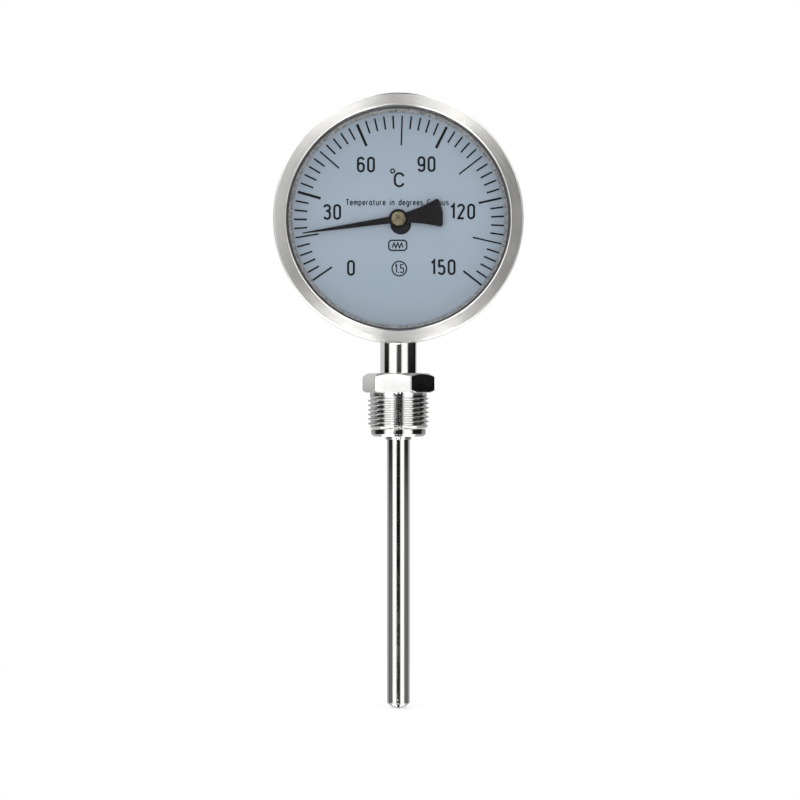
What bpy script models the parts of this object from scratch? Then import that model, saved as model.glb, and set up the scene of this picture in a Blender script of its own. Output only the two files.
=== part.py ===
"""Bottom-connected bimetal dial thermometer, nominal 100 mm dial, 10 mm stem, M27x2 swivel nut.

The frame is +Z up with the stem along Z and the dial facing -Y. The origin is on the stem's axis,
in the plane of the collar's underside. Sizes are in millimetres and become metres in add_object.
"""

import math

import bmesh
import bpy
from mathutils import Matrix

MM = 0.001
GAP = 0.3  # between two pieces that touch or are fixed to each other
RUNNING = 0.12  # radial clearance of a shaft in its bush
OVERRUN = 4.0  # how far a cutter runs past the material it cuts
BREAK = 0.3  # small chamfer on a turned edge

# Head
DIAL_Z = 94.6
BEZEL_R, BEZEL_FRONT_Y, BEZEL_REAR_Y, BEZEL_WALL = 54.0, -21.0, -8.6, 1.2
BEZEL_CORNER_R, BEZEL_LIP_R, BEZEL_CRIMP_R, BEZEL_CRIMP_T = 1.5, 0.6, 50.7, 0.7
APERTURE_R = 48.4
WINDOW_R, WINDOW_T, WINDOW_FRONT_Y = 52.3, 2.0, -18.8
WINDOW_BACK_Y = WINDOW_FRONT_Y + WINDOW_T
GASKET_T, GASKET_W = 0.6, 4.7
CASE_RIM_R, CASE_DRUM_R, CASE_WALL = 52.4, 50.2, 0.8
CASE_RIM_Y = WINDOW_BACK_Y + GASKET_T + 2 * GAP
CASE_LEDGE_Y, CASE_BACK_Y, CASE_CORNER_R = -11.2, 18.0, 6.0
CASE_STEP_FRONT, CASE_STEP_REAR = 0.6, 1.6  # outside of the step, behind the ledge
DIAL_R, DIAL_T, DIAL_HOLE_R, DIAL_HOLE_X, DIAL_HOLE_Z = 51.2, 1.0, 4.6, 1.0, -2.1
DIAL_BACK_Y = CASE_LEDGE_Y - GAP
DIAL_FRONT_Y = DIAL_BACK_Y - DIAL_T
SPACER_IN_R, SPACER_SLOPE_R, SPACER_SLOPE_DEPTH = 46.2, 47.9, 1.8
SPACER_SPLIT_DEG, SPACER_SPLIT_W = 200.0, 1.2

# Scale and pointer. Angles run clockwise from straight up, as seen from the front.
SCALE_START_DEG, DEG_PER_DEGREE_C = -124.6, 1.684
REST_READING_C = 15.5
POINTER_Y, POINTER_T = -14.6, 0.5
POINTER_BOSS_R, POINTER_LENGTH, POINTER_WIDTH, POINTER_TIP_W = 4.2, 42.2, 3.0, 0.5
TAIL_LENGTH, TAIL_WIDTH, TAIL_ROOT_W, TAIL_CORNER_R = 19.5, 12.2, 4.4, 1.2
TAIL_END_RISE, TAIL_CORNER_START_DEG, TAIL_CORNER_END_DEG = 0.8, 25, -80
HUB_R, HUB_TUBE_R, HUB_HEAD_T, HUB_TUBE_T, HUB_BREAK = 3.1, 1.6, 1.1, 1.6, 0.4

# Movement
SPINDLE_R, SPINDLE_TIP_R = 1.0, 0.75
SPINDLE_FRONT_Y, SPINDLE_STEP_Y, SPINDLE_REAR_Y = -15.6, -11.2, 10.2
CLIP_Y, CLIP_T, CLIP_R, CLIP_IN_R, CLIP_START_DEG, CLIP_SWEEP_DEG = 8.6, 0.6, 2.4, 0.9, 35, 290
CLIP_GROOVE_R, CLIP_GROOVE_PLAY = 0.65, 0.2
BUSH_R, BUSH_FLANGE_R, BUSH_FLANGE_T, BUSH_PAST_PLATE = 2.3, 3.2, 0.6, 0.6
FRAME_T, FRAME_HALF_W, FRAME_FOOT_HALF_W = 1.2, 6.0, 11.0
FRAME_FRONT_Y, FRAME_REAR_Y, FRAME_TOP_Z, FRAME_FOOT_Z, FRAME_CORNER_R = -9.6, 6.4, 101.0, 55.9, 3.5
SCREW_X, SCREW_R, SCREW_HEAD_R, SCREW_HEAD_T, SCREW_HOLE_R = 7.6, 1.4, 2.6, 1.6, 1.8
SCREW_DEPTH, SCREW_HOLE_DEPTH, SLOT_W, SLOT_DEPTH = 3.6, 4.2, 0.7, 0.7
GEAR_TEETH, GEAR_PITCH_R, GEAR_FACE_SCALE = 12, 5.0, 0.6
ADDENDUM, DEDENDUM, TOOTH_TIP_DEG, TOOTH_ROOT_DEG = 0.6, 0.8, 3.0, 7.0
GEAR_HUB_R, GEAR_HUB_DEPTH = 3.6, 7.0

# Neck, collar and stem
NECK_R, NECK_BORE_R, NECK_TOP_Z = 8.0, 5.4, 49.7
HEAD_R, HEAD_BOTTOM_Z, HEAD_TOP_Z = 11.0, 46.9, 55.6
COLLAR_R, COLLAR_T, COLLAR_ROUND, COLLAR_HUB_R, COLLAR_HUB_T = 12.0, 3.3, 1.2, 5.7, 1.4
STEM_R, STEM_BORE_R, STEM_BOTTOM_Z, STEM_TOP_Z = 5.0, 4.0, -116.7, 49.2
TIP_END_Z, TIP_LAND, TIP_SPIGOT_R, TIP_SPIGOT_Z = -119.5, 0.1, 3.7, -111.5
SHAFT_R, SHAFT_TOP_Z, SHAFT_BOTTOM_Z = 1.0, 90.9, -43.0
GUIDE_LOW_Z, GUIDE_HIGH_Z = -34.0, -28.0
COIL_TOP_Z, COIL_BOTTOM_Z, COIL_TURNS = -44.6, -105.5, 14
COIL_IN_R, COIL_OUT_R, COIL_STRIP_W, COIL_STEPS = 2.9, 3.4, 2.6, 14
TOP_HUB_LOW, TOP_HUB_FLANGE_T, TOP_HUB_LENGTH, TOP_HUB_R = 1.6, 1.4, 5.4, 2.3
ANCHOR_T, ANCHOR_PIN_R, ANCHOR_PIN_IN_COIL = 2.4, 1.4, 4.0

# Union nut
NUT_BOTTOM_Z, NUT_TOP_Z, NUT_BORE_R = 3.6, 27.8, 8.45
NUT_HEX_Z, NUT_HEX_FLAT_R, NUT_TURN_DEG = 19.3, 14.0, -9.7
NUT_CHAMFER_R, NUT_CHAMFER_DEG = 13.3, 30.0
THREAD_TOP_Z, THREAD_CREST_R, THREAD_ROOT_R, THREAD_PITCH, RELIEF_R = 17.6, 13.4, 12.2, 2.0, 12.0
THREAD_FLANK_SHARE = 0.42  # of the pitch, from a root to a crest
THREAD_END_CUT, BORE_CHAMFER = 0.2, 0.4
NUT_SEAT_R, NUT_SEAT_DEPTH = 11.0, 1.0
SLIP_RING_R, SLIP_RING_T = 10.6, 0.7
NUT_STEPS = 36

COARSE, MEDIUM, FINE = 20, 36, 64

MATERIALS = {
    "satin_steel": ((0.62, 0.62, 0.61), 0.32, 1.0),
    "polished_steel": ((0.66, 0.66, 0.65), 0.12, 1.0),
    "spring_steel": ((0.42, 0.43, 0.46), 0.30, 1.0),
    "brass": ((0.72, 0.58, 0.28), 0.28, 1.0),
    "dial_paint": ((0.36, 0.42, 0.50), 0.35, 0.0),
    "ring_grey": ((0.42, 0.43, 0.45), 0.45, 0.2),
    "pointer_black": ((0.012, 0.012, 0.014), 0.40, 0.0),
    "rubber": ((0.02, 0.02, 0.02), 0.80, 0.0),
    "glass": ((0.92, 0.96, 0.96), 0.02, 0.0),
}


def pointer_angle(reading_c):
    """The pointer's angle in degrees, clockwise from straight up, at a temperature in Celsius."""
    return SCALE_START_DEG + DEG_PER_DEGREE_C * reading_c


def material(name):
    """The named material, made on first use."""
    found = bpy.data.materials.get(name)
    if found:
        return found
    colour, roughness, metallic = MATERIALS[name]
    made = bpy.data.materials.new(name)
    made.use_nodes = True
    shader = made.node_tree.nodes["Principled BSDF"]
    shader.inputs["Base Color"].default_value = (*colour, 1.0)
    shader.inputs["Roughness"].default_value = roughness
    shader.inputs["Metallic"].default_value = metallic
    if name == "glass":
        shader.inputs["Transmission Weight"].default_value = 1.0
    return made


def empty(name, z):
    """An empty on a joint's axis, z millimetres above the origin."""
    made = bpy.data.objects.new(name, None)
    made.location = (0, 0, z * MM)
    made.empty_display_size = 0.02
    bpy.context.scene.collection.objects.link(made)
    return made


def add_object(name, mesh, finish, axis="Z", centre_z=0.0, turn_deg=0.0, parent=None):
    """Turns a bmesh in millimetres into an object in metres. axis Y lays the mesh's own Z along +Y."""
    bmesh.ops.remove_doubles(mesh, verts=mesh.verts, dist=0.0005)
    bmesh.ops.dissolve_degenerate(mesh, edges=mesh.edges, dist=0.0001)
    bmesh.ops.recalc_face_normals(mesh, faces=mesh.faces)
    bmesh.ops.scale(mesh, verts=mesh.verts, vec=(MM, MM, MM))
    data = bpy.data.meshes.new(name)
    mesh.to_mesh(data)
    mesh.free()
    data.shade_smooth()
    data.set_sharp_from_angle(angle=math.radians(32))
    data.materials.append(material(finish))
    made = bpy.data.objects.new(name, data)
    bpy.context.scene.collection.objects.link(made)
    lay = Matrix.Rotation(math.radians(-90), 4, "X") if axis == "Y" else Matrix.Identity(4)
    spin = Matrix.Rotation(math.radians(turn_deg), 4, axis)
    made.matrix_world = Matrix.Translation((0, 0, centre_z * MM)) @ spin @ lay
    if parent:
        made.parent = parent
        made.matrix_parent_inverse = Matrix.Translation(parent.location).inverted()
    return made


def arc(centre_r, centre_h, radius, start_deg, end_deg, steps):
    """Points (radius, height) along an arc in a section."""
    points = []
    for i in range(steps + 1):
        angle = math.radians(start_deg + (end_deg - start_deg) * i / steps)
        points.append((centre_r + radius * math.cos(angle), centre_h + radius * math.sin(angle)))
    return points


def turned(name, section, finish, steps=MEDIUM, sweep_deg=360.0, start_deg=0.0, **place):
    """A body turned about its own Z. section runs round it as (radius, height) points."""
    mesh = bmesh.new()
    points = [mesh.verts.new((r, 0.0, h)) for r, h in section]
    edges = []
    for (r0, _), (r1, _), a, b in zip(section, section[1:] + section[:1], points, points[1:] + points[:1]):
        if r0 > 0 or r1 > 0:
            edges.append(mesh.edges.new((a, b)))
    first = Matrix.Rotation(math.radians(start_deg), 3, "Z")
    bmesh.ops.rotate(mesh, verts=points, cent=(0, 0, 0), matrix=first)
    spun = bmesh.ops.spin(
        mesh, geom=points + edges, cent=(0, 0, 0), axis=(0, 0, 1), angle=math.radians(sweep_deg), steps=steps
    )
    if sweep_deg < 360.0:
        mesh.faces.new(points)
        mesh.faces.new([v for v in spun["geom_last"] if isinstance(v, bmesh.types.BMVert)])
    return add_object(name, mesh, finish, **place)


def tube(name, outer_r, inner_r, low, high, finish, steps=MEDIUM, **place):
    """A plain tube from height low to height high."""
    section = [(inner_r, low), (outer_r, low), (outer_r, high), (inner_r, high)]
    return turned(name, section, finish, steps, **place)


def flanged_bush(name, low, high, flange_low, flange_high, steps=COARSE, **place):
    """A brass bush with a flange at one end, bored for a shaft with running clearance."""
    bore = SHAFT_R + RUNNING
    if flange_low > low:
        outside = [(BUSH_R, low), (BUSH_R, flange_low), (BUSH_FLANGE_R, flange_low), (BUSH_FLANGE_R, high)]
    else:
        outside = [(BUSH_FLANGE_R, low), (BUSH_FLANGE_R, flange_high), (BUSH_R, flange_high), (BUSH_R, high)]
    return turned(name, [(bore, low)] + outside + [(bore, high)], "brass", steps, **place)


def block(mesh, low, high):
    """Adds a box between two corners to a bmesh."""
    size = [b - a for a, b in zip(low, high)]
    centre = [(a + b) / 2 for a, b in zip(low, high)]
    bmesh.ops.create_cube(mesh, size=1.0, matrix=Matrix.Translation(centre) @ Matrix.Diagonal((*size, 1.0)))


def helper(name, mesh):
    """An object that only shapes another: it is drawn as wire and doesn't render."""
    made = add_object(name, mesh, "spring_steel")
    made.hide_render = True
    made.display_type = "WIRE"
    return made


def rod_helper(name, radius, low, high, steps=COARSE):
    """A solid round helper between two points, for a hole."""
    mesh = bmesh.new()
    axis = [b - a for a, b in zip(low, high)]
    length = math.sqrt(sum(c * c for c in axis))
    middle = Matrix.Translation([(a + b) / 2 for a, b in zip(low, high)])
    lay = Matrix.Rotation(math.radians(90), 4, "X") if axis[1] else Matrix.Identity(4)
    bmesh.ops.create_cone(
        mesh, cap_ends=True, segments=steps, radius1=radius, radius2=radius, depth=length, matrix=middle @ lay
    )
    return helper(name, mesh)


def boolean(target, other, operation):
    """Leaves an exact Boolean modifier on the target."""
    made = target.modifiers.new(f"{operation.lower()}_{other.name}", "BOOLEAN")
    made.operation = operation
    made.solver = "EXACT"
    made.object = other


def make_bezel():
    """The formed ring: a rear edge crimped behind the case rim, a side wall, a flat face and a lip."""
    wall_r = BEZEL_R - BEZEL_WALL
    seat_y = WINDOW_FRONT_Y - GAP
    section = [(BEZEL_R, BEZEL_REAR_Y)]
    section += arc(BEZEL_R - BEZEL_CORNER_R, BEZEL_FRONT_Y + BEZEL_CORNER_R, BEZEL_CORNER_R, 0, -90, 4)
    section += arc(APERTURE_R + BEZEL_LIP_R, BEZEL_FRONT_Y + BEZEL_LIP_R, BEZEL_LIP_R, -90, -180, 3)
    section += [(APERTURE_R, seat_y), (wall_r, seat_y), (wall_r, BEZEL_REAR_Y - BEZEL_CRIMP_T)]
    section += [(BEZEL_CRIMP_R, BEZEL_REAR_Y - BEZEL_CRIMP_T), (BEZEL_CRIMP_R, BEZEL_REAR_Y)]
    return turned("bezel_ring", section, "satin_steel", FINE, axis="Y", centre_z=DIAL_Z)


def make_window_stack():
    """The window, the gasket behind it and the split spacer ring that holds the dial down."""
    disc = [(0, WINDOW_FRONT_Y), (WINDOW_R, WINDOW_FRONT_Y), (WINDOW_R, WINDOW_BACK_Y), (0, WINDOW_BACK_Y)]
    turned("window_glass", disc, "glass", FINE, axis="Y", centre_z=DIAL_Z)
    gasket_y = WINDOW_BACK_Y + GAP
    tube(
        "window_gasket", WINDOW_R, WINDOW_R - GASKET_W, gasket_y, gasket_y + GASKET_T, "rubber", FINE,
        axis="Y", centre_z=DIAL_Z,
    )
    back_y, front_y = DIAL_FRONT_Y - GAP, gasket_y + GASKET_T + GAP
    section = [
        (SPACER_IN_R, back_y),
        (DIAL_R, back_y),
        (DIAL_R, front_y),
        (SPACER_SLOPE_R, front_y),
        (SPACER_IN_R, front_y + SPACER_SLOPE_DEPTH),
    ]
    split_deg = math.degrees(SPACER_SPLIT_W / SPACER_IN_R)
    # The section starts at 3 o'clock and turns clockwise as seen from the front.
    start = SPACER_SPLIT_DEG - 90 + split_deg / 2
    turned(
        "spacer_ring", section, "ring_grey", FINE, sweep_deg=360 - split_deg, start_deg=start,
        axis="Y", centre_z=DIAL_Z,
    )


def make_dial():
    """The dial plate. Its hole clears the pointer's hub and sits low and to the right of the spindle."""
    disc = [(0, DIAL_FRONT_Y), (DIAL_R, DIAL_FRONT_Y), (DIAL_R, DIAL_BACK_Y), (0, DIAL_BACK_Y)]
    dial = turned("dial_plate", disc, "dial_paint", FINE, axis="Y", centre_z=DIAL_Z)
    hole_z = DIAL_Z + DIAL_HOLE_Z
    low = (DIAL_HOLE_X, DIAL_FRONT_Y - OVERRUN, hole_z)
    high = (DIAL_HOLE_X, DIAL_BACK_Y + OVERRUN, hole_z)
    boolean(dial, rod_helper("dial_hole_cutter", DIAL_HOLE_R, low, high, MEDIUM), "DIFFERENCE")


def make_case():
    """The drawn cup: a wide rim for the bezel, a ledge for the dial, a drum and a flat back."""
    corner, wall = CASE_CORNER_R, CASE_WALL
    corner_y = CASE_BACK_Y - corner
    outer = [(CASE_RIM_R, CASE_RIM_Y), (CASE_RIM_R, CASE_LEDGE_Y + CASE_STEP_FRONT)]
    outer += [(CASE_DRUM_R, CASE_LEDGE_Y + CASE_STEP_REAR)]
    outer += arc(CASE_DRUM_R - corner, corner_y, corner, 0, 90, 4)
    inner = arc(CASE_DRUM_R - corner, corner_y, corner - wall, 90, 0, 4)
    inner += [(CASE_DRUM_R - wall, CASE_LEDGE_Y), (CASE_RIM_R - wall, CASE_LEDGE_Y)]
    inner += [(CASE_RIM_R - wall, CASE_RIM_Y)]
    section = outer + [(0, CASE_BACK_Y), (0, CASE_BACK_Y - wall)] + inner
    case = turned("case_shell", section, "satin_steel", FINE, axis="Y", centre_z=DIAL_Z)
    low, high = (0, 0, HEAD_BOTTOM_Z - 2 * OVERRUN), (0, 0, HEAD_BOTTOM_Z + OVERRUN)
    cutter = rod_helper("neck_hole_cutter", NECK_R + GAP, low, high, MEDIUM)
    boolean(case, cutter, "DIFFERENCE")


def pointer_outline():
    """The pointer's outline, round from the tip, with the arm along +Y and the tail along -Y."""
    tip = [(-POINTER_TIP_W / 2, POINTER_LENGTH), (POINTER_TIP_W / 2, POINTER_LENGTH)]
    arm_deg = math.degrees(math.asin(POINTER_WIDTH / 2 / POINTER_BOSS_R))
    tail_deg = math.degrees(math.asin(TAIL_ROOT_W / 2 / POINTER_BOSS_R))
    right = arc(0, 0, POINTER_BOSS_R, 90 - arm_deg, -90 + tail_deg, 7)
    corner_x, corner_y = TAIL_WIDTH / 2 - TAIL_CORNER_R, TAIL_CORNER_R + TAIL_END_RISE - TAIL_LENGTH
    corner = arc(corner_x, corner_y, TAIL_CORNER_R, TAIL_CORNER_START_DEG, TAIL_CORNER_END_DEG, 4)
    half = right + corner
    end = [(0.0, -TAIL_LENGTH)]
    return tip + half + end + [(-x, y) for x, y in reversed(half)]


def make_pointer(spindle_axis):
    """The flat pointer with a round hole, and the brass bush that carries it on the spindle."""
    mesh = bmesh.new()
    outline = [mesh.verts.new((x, y, 0.0)) for x, y in pointer_outline()]
    flat = mesh.faces.new(outline)
    raised = bmesh.ops.extrude_face_region(mesh, geom=[flat])
    upper = [v for v in raised["geom"] if isinstance(v, bmesh.types.BMVert)]
    bmesh.ops.translate(mesh, verts=upper, vec=(0, 0, POINTER_T))
    # The arm is drawn along the mesh's +Y, which axis Y lays along -Z: half a turn points it up.
    angle = pointer_angle(REST_READING_C)
    bmesh.ops.translate(mesh, verts=mesh.verts, vec=(0, 0, POINTER_Y))
    pointer = add_object(
        "pointer", mesh, "pointer_black", axis="Y", centre_z=DIAL_Z, turn_deg=180 + angle, parent=spindle_axis
    )
    low, high = (0, POINTER_Y - OVERRUN, DIAL_Z), (0, POINTER_Y + OVERRUN, DIAL_Z)
    cutter = rod_helper("pointer_hole_cutter", HUB_TUBE_R + GAP, low, high)
    boolean(pointer, cutter, "DIFFERENCE")
    bore = SPINDLE_TIP_R + GAP
    shoulder_y, end_y = POINTER_Y - GAP, POINTER_Y + HUB_TUBE_T
    head_y = shoulder_y - HUB_HEAD_T
    section = [
        (bore, head_y),
        (HUB_R - HUB_BREAK, head_y),
        (HUB_R, head_y + HUB_BREAK),
        (HUB_R, shoulder_y),
        (HUB_TUBE_R, shoulder_y),
        (HUB_TUBE_R, end_y),
        (bore, end_y),
    ]
    turned("pointer_hub", section, "brass", 28, axis="Y", centre_z=DIAL_Z, parent=spindle_axis)


def make_spindle(spindle_axis):
    """The pointer spindle, its two bushes and the clip behind the rear bush."""
    groove_low, groove_high = CLIP_Y - CLIP_GROOVE_PLAY, CLIP_Y + CLIP_T + CLIP_GROOVE_PLAY
    section = [
        (0, SPINDLE_FRONT_Y),
        (SPINDLE_TIP_R, SPINDLE_FRONT_Y),
        (SPINDLE_TIP_R, SPINDLE_STEP_Y),
        (SPINDLE_R, SPINDLE_STEP_Y),
        (SPINDLE_R, groove_low),
        (CLIP_GROOVE_R, groove_low),
        (CLIP_GROOVE_R, groove_high),
        (SPINDLE_R, groove_high),
        (SPINDLE_R, SPINDLE_REAR_Y),
        (0, SPINDLE_REAR_Y),
    ]
    turned("spindle", section, "spring_steel", COARSE, axis="Y", centre_z=DIAL_Z, parent=spindle_axis)
    low, high = FRAME_FRONT_Y - BUSH_FLANGE_T - GAP, FRAME_FRONT_Y + FRAME_T + BUSH_PAST_PLATE
    flanged_bush("spindle_front_bush", low, high, low, low + BUSH_FLANGE_T, axis="Y", centre_z=DIAL_Z)
    low, high = FRAME_REAR_Y - BUSH_PAST_PLATE, FRAME_REAR_Y + FRAME_T + BUSH_FLANGE_T + GAP
    flanged_bush("spindle_rear_bush", low, high, high - BUSH_FLANGE_T, high, axis="Y", centre_z=DIAL_Z)
    ring = [(CLIP_IN_R, CLIP_Y), (CLIP_R, CLIP_Y), (CLIP_R, CLIP_Y + CLIP_T), (CLIP_IN_R, CLIP_Y + CLIP_T)]
    turned(
        "spindle_clip", ring, "spring_steel", COARSE, sweep_deg=CLIP_SWEEP_DEG, start_deg=CLIP_START_DEG,
        axis="Y", centre_z=DIAL_Z, parent=spindle_axis,
    )


def make_frame():
    """The U bracket: a foot on the neck head and two arms that carry the spindle."""
    foot_top = FRAME_FOOT_Z + FRAME_T
    rear = FRAME_REAR_Y + FRAME_T
    mesh = bmesh.new()
    block(mesh, (-FRAME_FOOT_HALF_W, FRAME_FRONT_Y, FRAME_FOOT_Z), (FRAME_FOOT_HALF_W, rear, foot_top))
    frame = add_object("movement_frame", mesh, "satin_steel")
    for side, low_y in (("front", FRAME_FRONT_Y), ("rear", FRAME_REAR_Y)):
        arm = bmesh.new()
        low = (-FRAME_HALF_W, low_y, FRAME_FOOT_Z + FRAME_T / 3)
        block(arm, low, (FRAME_HALF_W, low_y + FRAME_T, FRAME_TOP_Z))
        top_edges = [
            e for e in arm.edges
            if all(v.co.z > FRAME_TOP_Z - 1 for v in e.verts)
            and abs(e.verts[0].co.x - e.verts[1].co.x) < 0.01
        ]
        bmesh.ops.bevel(arm, geom=top_edges, offset=FRAME_CORNER_R, segments=3, profile=0.5, affect="EDGES")
        boolean(frame, helper(f"frame_{side}_arm", arm), "UNION")
    hole = BUSH_R + GAP
    low, high = (0, FRAME_FRONT_Y - OVERRUN, DIAL_Z), (0, rear + OVERRUN, DIAL_Z)
    boolean(frame, rod_helper("frame_spindle_cutter", hole, low, high), "DIFFERENCE")
    places = (("shaft", 0.0, hole), ("left", -SCREW_X, SCREW_HOLE_R), ("right", SCREW_X, SCREW_HOLE_R))
    for label, x, radius in places:
        low, high = (x, 0, FRAME_FOOT_Z - OVERRUN), (x, 0, foot_top + OVERRUN)
        boolean(frame, rod_helper(f"frame_{label}_cutter", radius, low, high), "DIFFERENCE")


def make_screw(name, x):
    """A slotted cheese-head screw standing in the neck head."""
    foot_top = FRAME_FOOT_Z + FRAME_T
    low, seat, top = HEAD_TOP_Z - SCREW_DEPTH, foot_top + GAP, foot_top + GAP + SCREW_HEAD_T
    section = [(0, low), (SCREW_R, low), (SCREW_R, seat), (SCREW_HEAD_R, seat)]
    section += [(SCREW_HEAD_R, top - BREAK), (SCREW_HEAD_R - BREAK, top), (0, top)]
    screw = turned(name, section, "spring_steel", COARSE)
    screw.location = (x * MM, 0, 0)
    slot = bmesh.new()
    low = (x - OVERRUN, -SLOT_W / 2, top - SLOT_DEPTH)
    block(slot, low, (x + OVERRUN, SLOT_W / 2, top + OVERRUN))
    boolean(screw, helper(f"{name}_slot", slot), "DIFFERENCE")


def bevel_gear(name, tooth_at_deg, **place):
    """A mitre gear whose cone's apex is at its own origin, with its teeth below it."""
    slope = math.sqrt(0.5)
    outline = []
    for tooth in range(GEAR_TEETH):
        middle = tooth_at_deg + 360.0 * tooth / GEAR_TEETH
        for side, height in ((-TOOTH_ROOT_DEG, -DEDENDUM), (-TOOTH_TIP_DEG, ADDENDUM),
                             (TOOTH_TIP_DEG, ADDENDUM), (TOOTH_ROOT_DEG, -DEDENDUM)):
            angle = math.radians(middle + side)
            radius, depth = GEAR_PITCH_R + height * slope, -GEAR_PITCH_R + height * slope
            outline.append((angle, radius, depth))

    def ring(scale=1.0, radius=None, depth=None):
        return [
            ((radius or r * scale) * math.cos(a), (radius or r * scale) * math.sin(a),
             d * scale if depth is None else depth)
            for a, r, d in outline
        ]

    bore = SHAFT_R + GAP
    front = -(GEAR_PITCH_R + DEDENDUM * slope) * GEAR_FACE_SCALE
    rings = [
        ring(radius=bore, depth=front),
        ring(scale=GEAR_FACE_SCALE),
        ring(),
        ring(radius=GEAR_HUB_R, depth=-GEAR_PITCH_R - DEDENDUM * slope),
        ring(radius=GEAR_HUB_R, depth=-GEAR_HUB_DEPTH),
        ring(radius=bore, depth=-GEAR_HUB_DEPTH),
    ]
    mesh = bmesh.new()
    rows = [[mesh.verts.new(p) for p in points] for points in rings]
    count = len(outline)
    for low, high in zip(rows, rows[1:] + rows[:1]):
        for j in range(count):
            k = (j + 1) % count
            mesh.faces.new((low[j], low[k], high[k], high[j]))
    return add_object(name, mesh, "brass", centre_z=DIAL_Z, **place)


def make_gears(shaft_axis, spindle_axis):
    """The pair in mesh: a tooth of one points at a gap of the other, where their pitch cones touch."""
    bevel_gear("shaft_gear", -90.0, parent=shaft_axis)
    bevel_gear("spindle_gear", 90.0 + 180.0 / GEAR_TEETH, axis="Y", parent=spindle_axis)


def make_neck():
    """The neck tube and its turned head inside the case, with the shaft's upper bush."""
    tube("neck_tube", NECK_R, NECK_BORE_R, COLLAR_T + GAP, NECK_TOP_Z, "polished_steel")
    hole = BUSH_R + GAP
    roof = NECK_TOP_Z + GAP
    section = [
        (NECK_R + GAP, HEAD_BOTTOM_Z),
        (HEAD_R, HEAD_BOTTOM_Z),
        (HEAD_R, HEAD_TOP_Z),
        (hole, HEAD_TOP_Z),
        (hole, roof),
        (NECK_R + GAP, roof),
    ]
    head = turned("neck_head", section, "satin_steel")
    for label, x in (("left", -SCREW_X), ("right", SCREW_X)):
        low, high = (x, 0, HEAD_TOP_Z - SCREW_HOLE_DEPTH), (x, 0, HEAD_TOP_Z + OVERRUN)
        boolean(head, rod_helper(f"head_{label}_cutter", SCREW_R + GAP, low, high), "DIFFERENCE")
    flange_low = FRAME_FOOT_Z + FRAME_T + GAP
    flange_high = flange_low + BUSH_FLANGE_T
    flanged_bush("shaft_upper_bush", roof + 2 * GAP, flange_high, flange_low, flange_high)


def make_collar():
    """The seat ring with a rounded lower edge and a short hub below it."""
    bore = STEM_R + GAP
    section = [
        (bore, -COLLAR_HUB_T),
        (COLLAR_HUB_R - BREAK / 2, -COLLAR_HUB_T),
        (COLLAR_HUB_R, BREAK - COLLAR_HUB_T),
        (COLLAR_HUB_R, 0),
    ]
    section += arc(COLLAR_R - COLLAR_ROUND, COLLAR_ROUND, COLLAR_ROUND, -90, 0, 3)
    section += [(COLLAR_R, COLLAR_T - BREAK), (COLLAR_R - BREAK, COLLAR_T), (bore, COLLAR_T)]
    turned("collar", section, "polished_steel", 48)


def make_stem():
    """The immersion tube and the plug with a domed end that closes it."""
    tube("stem_tube", STEM_R, STEM_BORE_R, STEM_BOTTOM_Z, STEM_TOP_Z, "polished_steel")
    top = STEM_BOTTOM_Z - GAP
    sag = top - TIP_LAND - TIP_END_Z
    dome_r = (STEM_R**2 + sag**2) / (2 * sag)
    dome_deg = math.degrees(math.asin(STEM_R / dome_r))
    section = [(0, TIP_END_Z)] + arc(0, TIP_END_Z + dome_r, dome_r, -90, dome_deg - 90, 5)[1:]
    section += [(STEM_R, top), (TIP_SPIGOT_R, top), (TIP_SPIGOT_R, TIP_SPIGOT_Z), (0, TIP_SPIGOT_Z)]
    turned("stem_tip", section, "polished_steel")


def make_shaft(shaft_axis):
    """The long shaft, its lower guide in the stem and the hub that the bimetal drives."""
    low, high = SHAFT_BOTTOM_Z, SHAFT_TOP_Z
    turned(
        "stem_shaft", [(0, low), (SHAFT_R, low), (SHAFT_R, high), (0, high)], "spring_steel", COARSE,
        parent=shaft_axis,
    )
    bore = SHAFT_R + RUNNING
    tube("shaft_lower_bush", STEM_BORE_R - GAP, bore, GUIDE_LOW_Z, GUIDE_HIGH_Z, "brass", COARSE)
    bore, low = SHAFT_R + GAP, COIL_TOP_Z + TOP_HUB_LOW
    section = [
        (bore, low),
        (COIL_OUT_R, low),
        (COIL_OUT_R, low + TOP_HUB_FLANGE_T),
        (TOP_HUB_R, low + TOP_HUB_FLANGE_T),
        (TOP_HUB_R, low + TOP_HUB_LENGTH),
        (bore, low + TOP_HUB_LENGTH),
    ]
    turned("coil_top_hub", section, "brass", COARSE, parent=shaft_axis)


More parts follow.
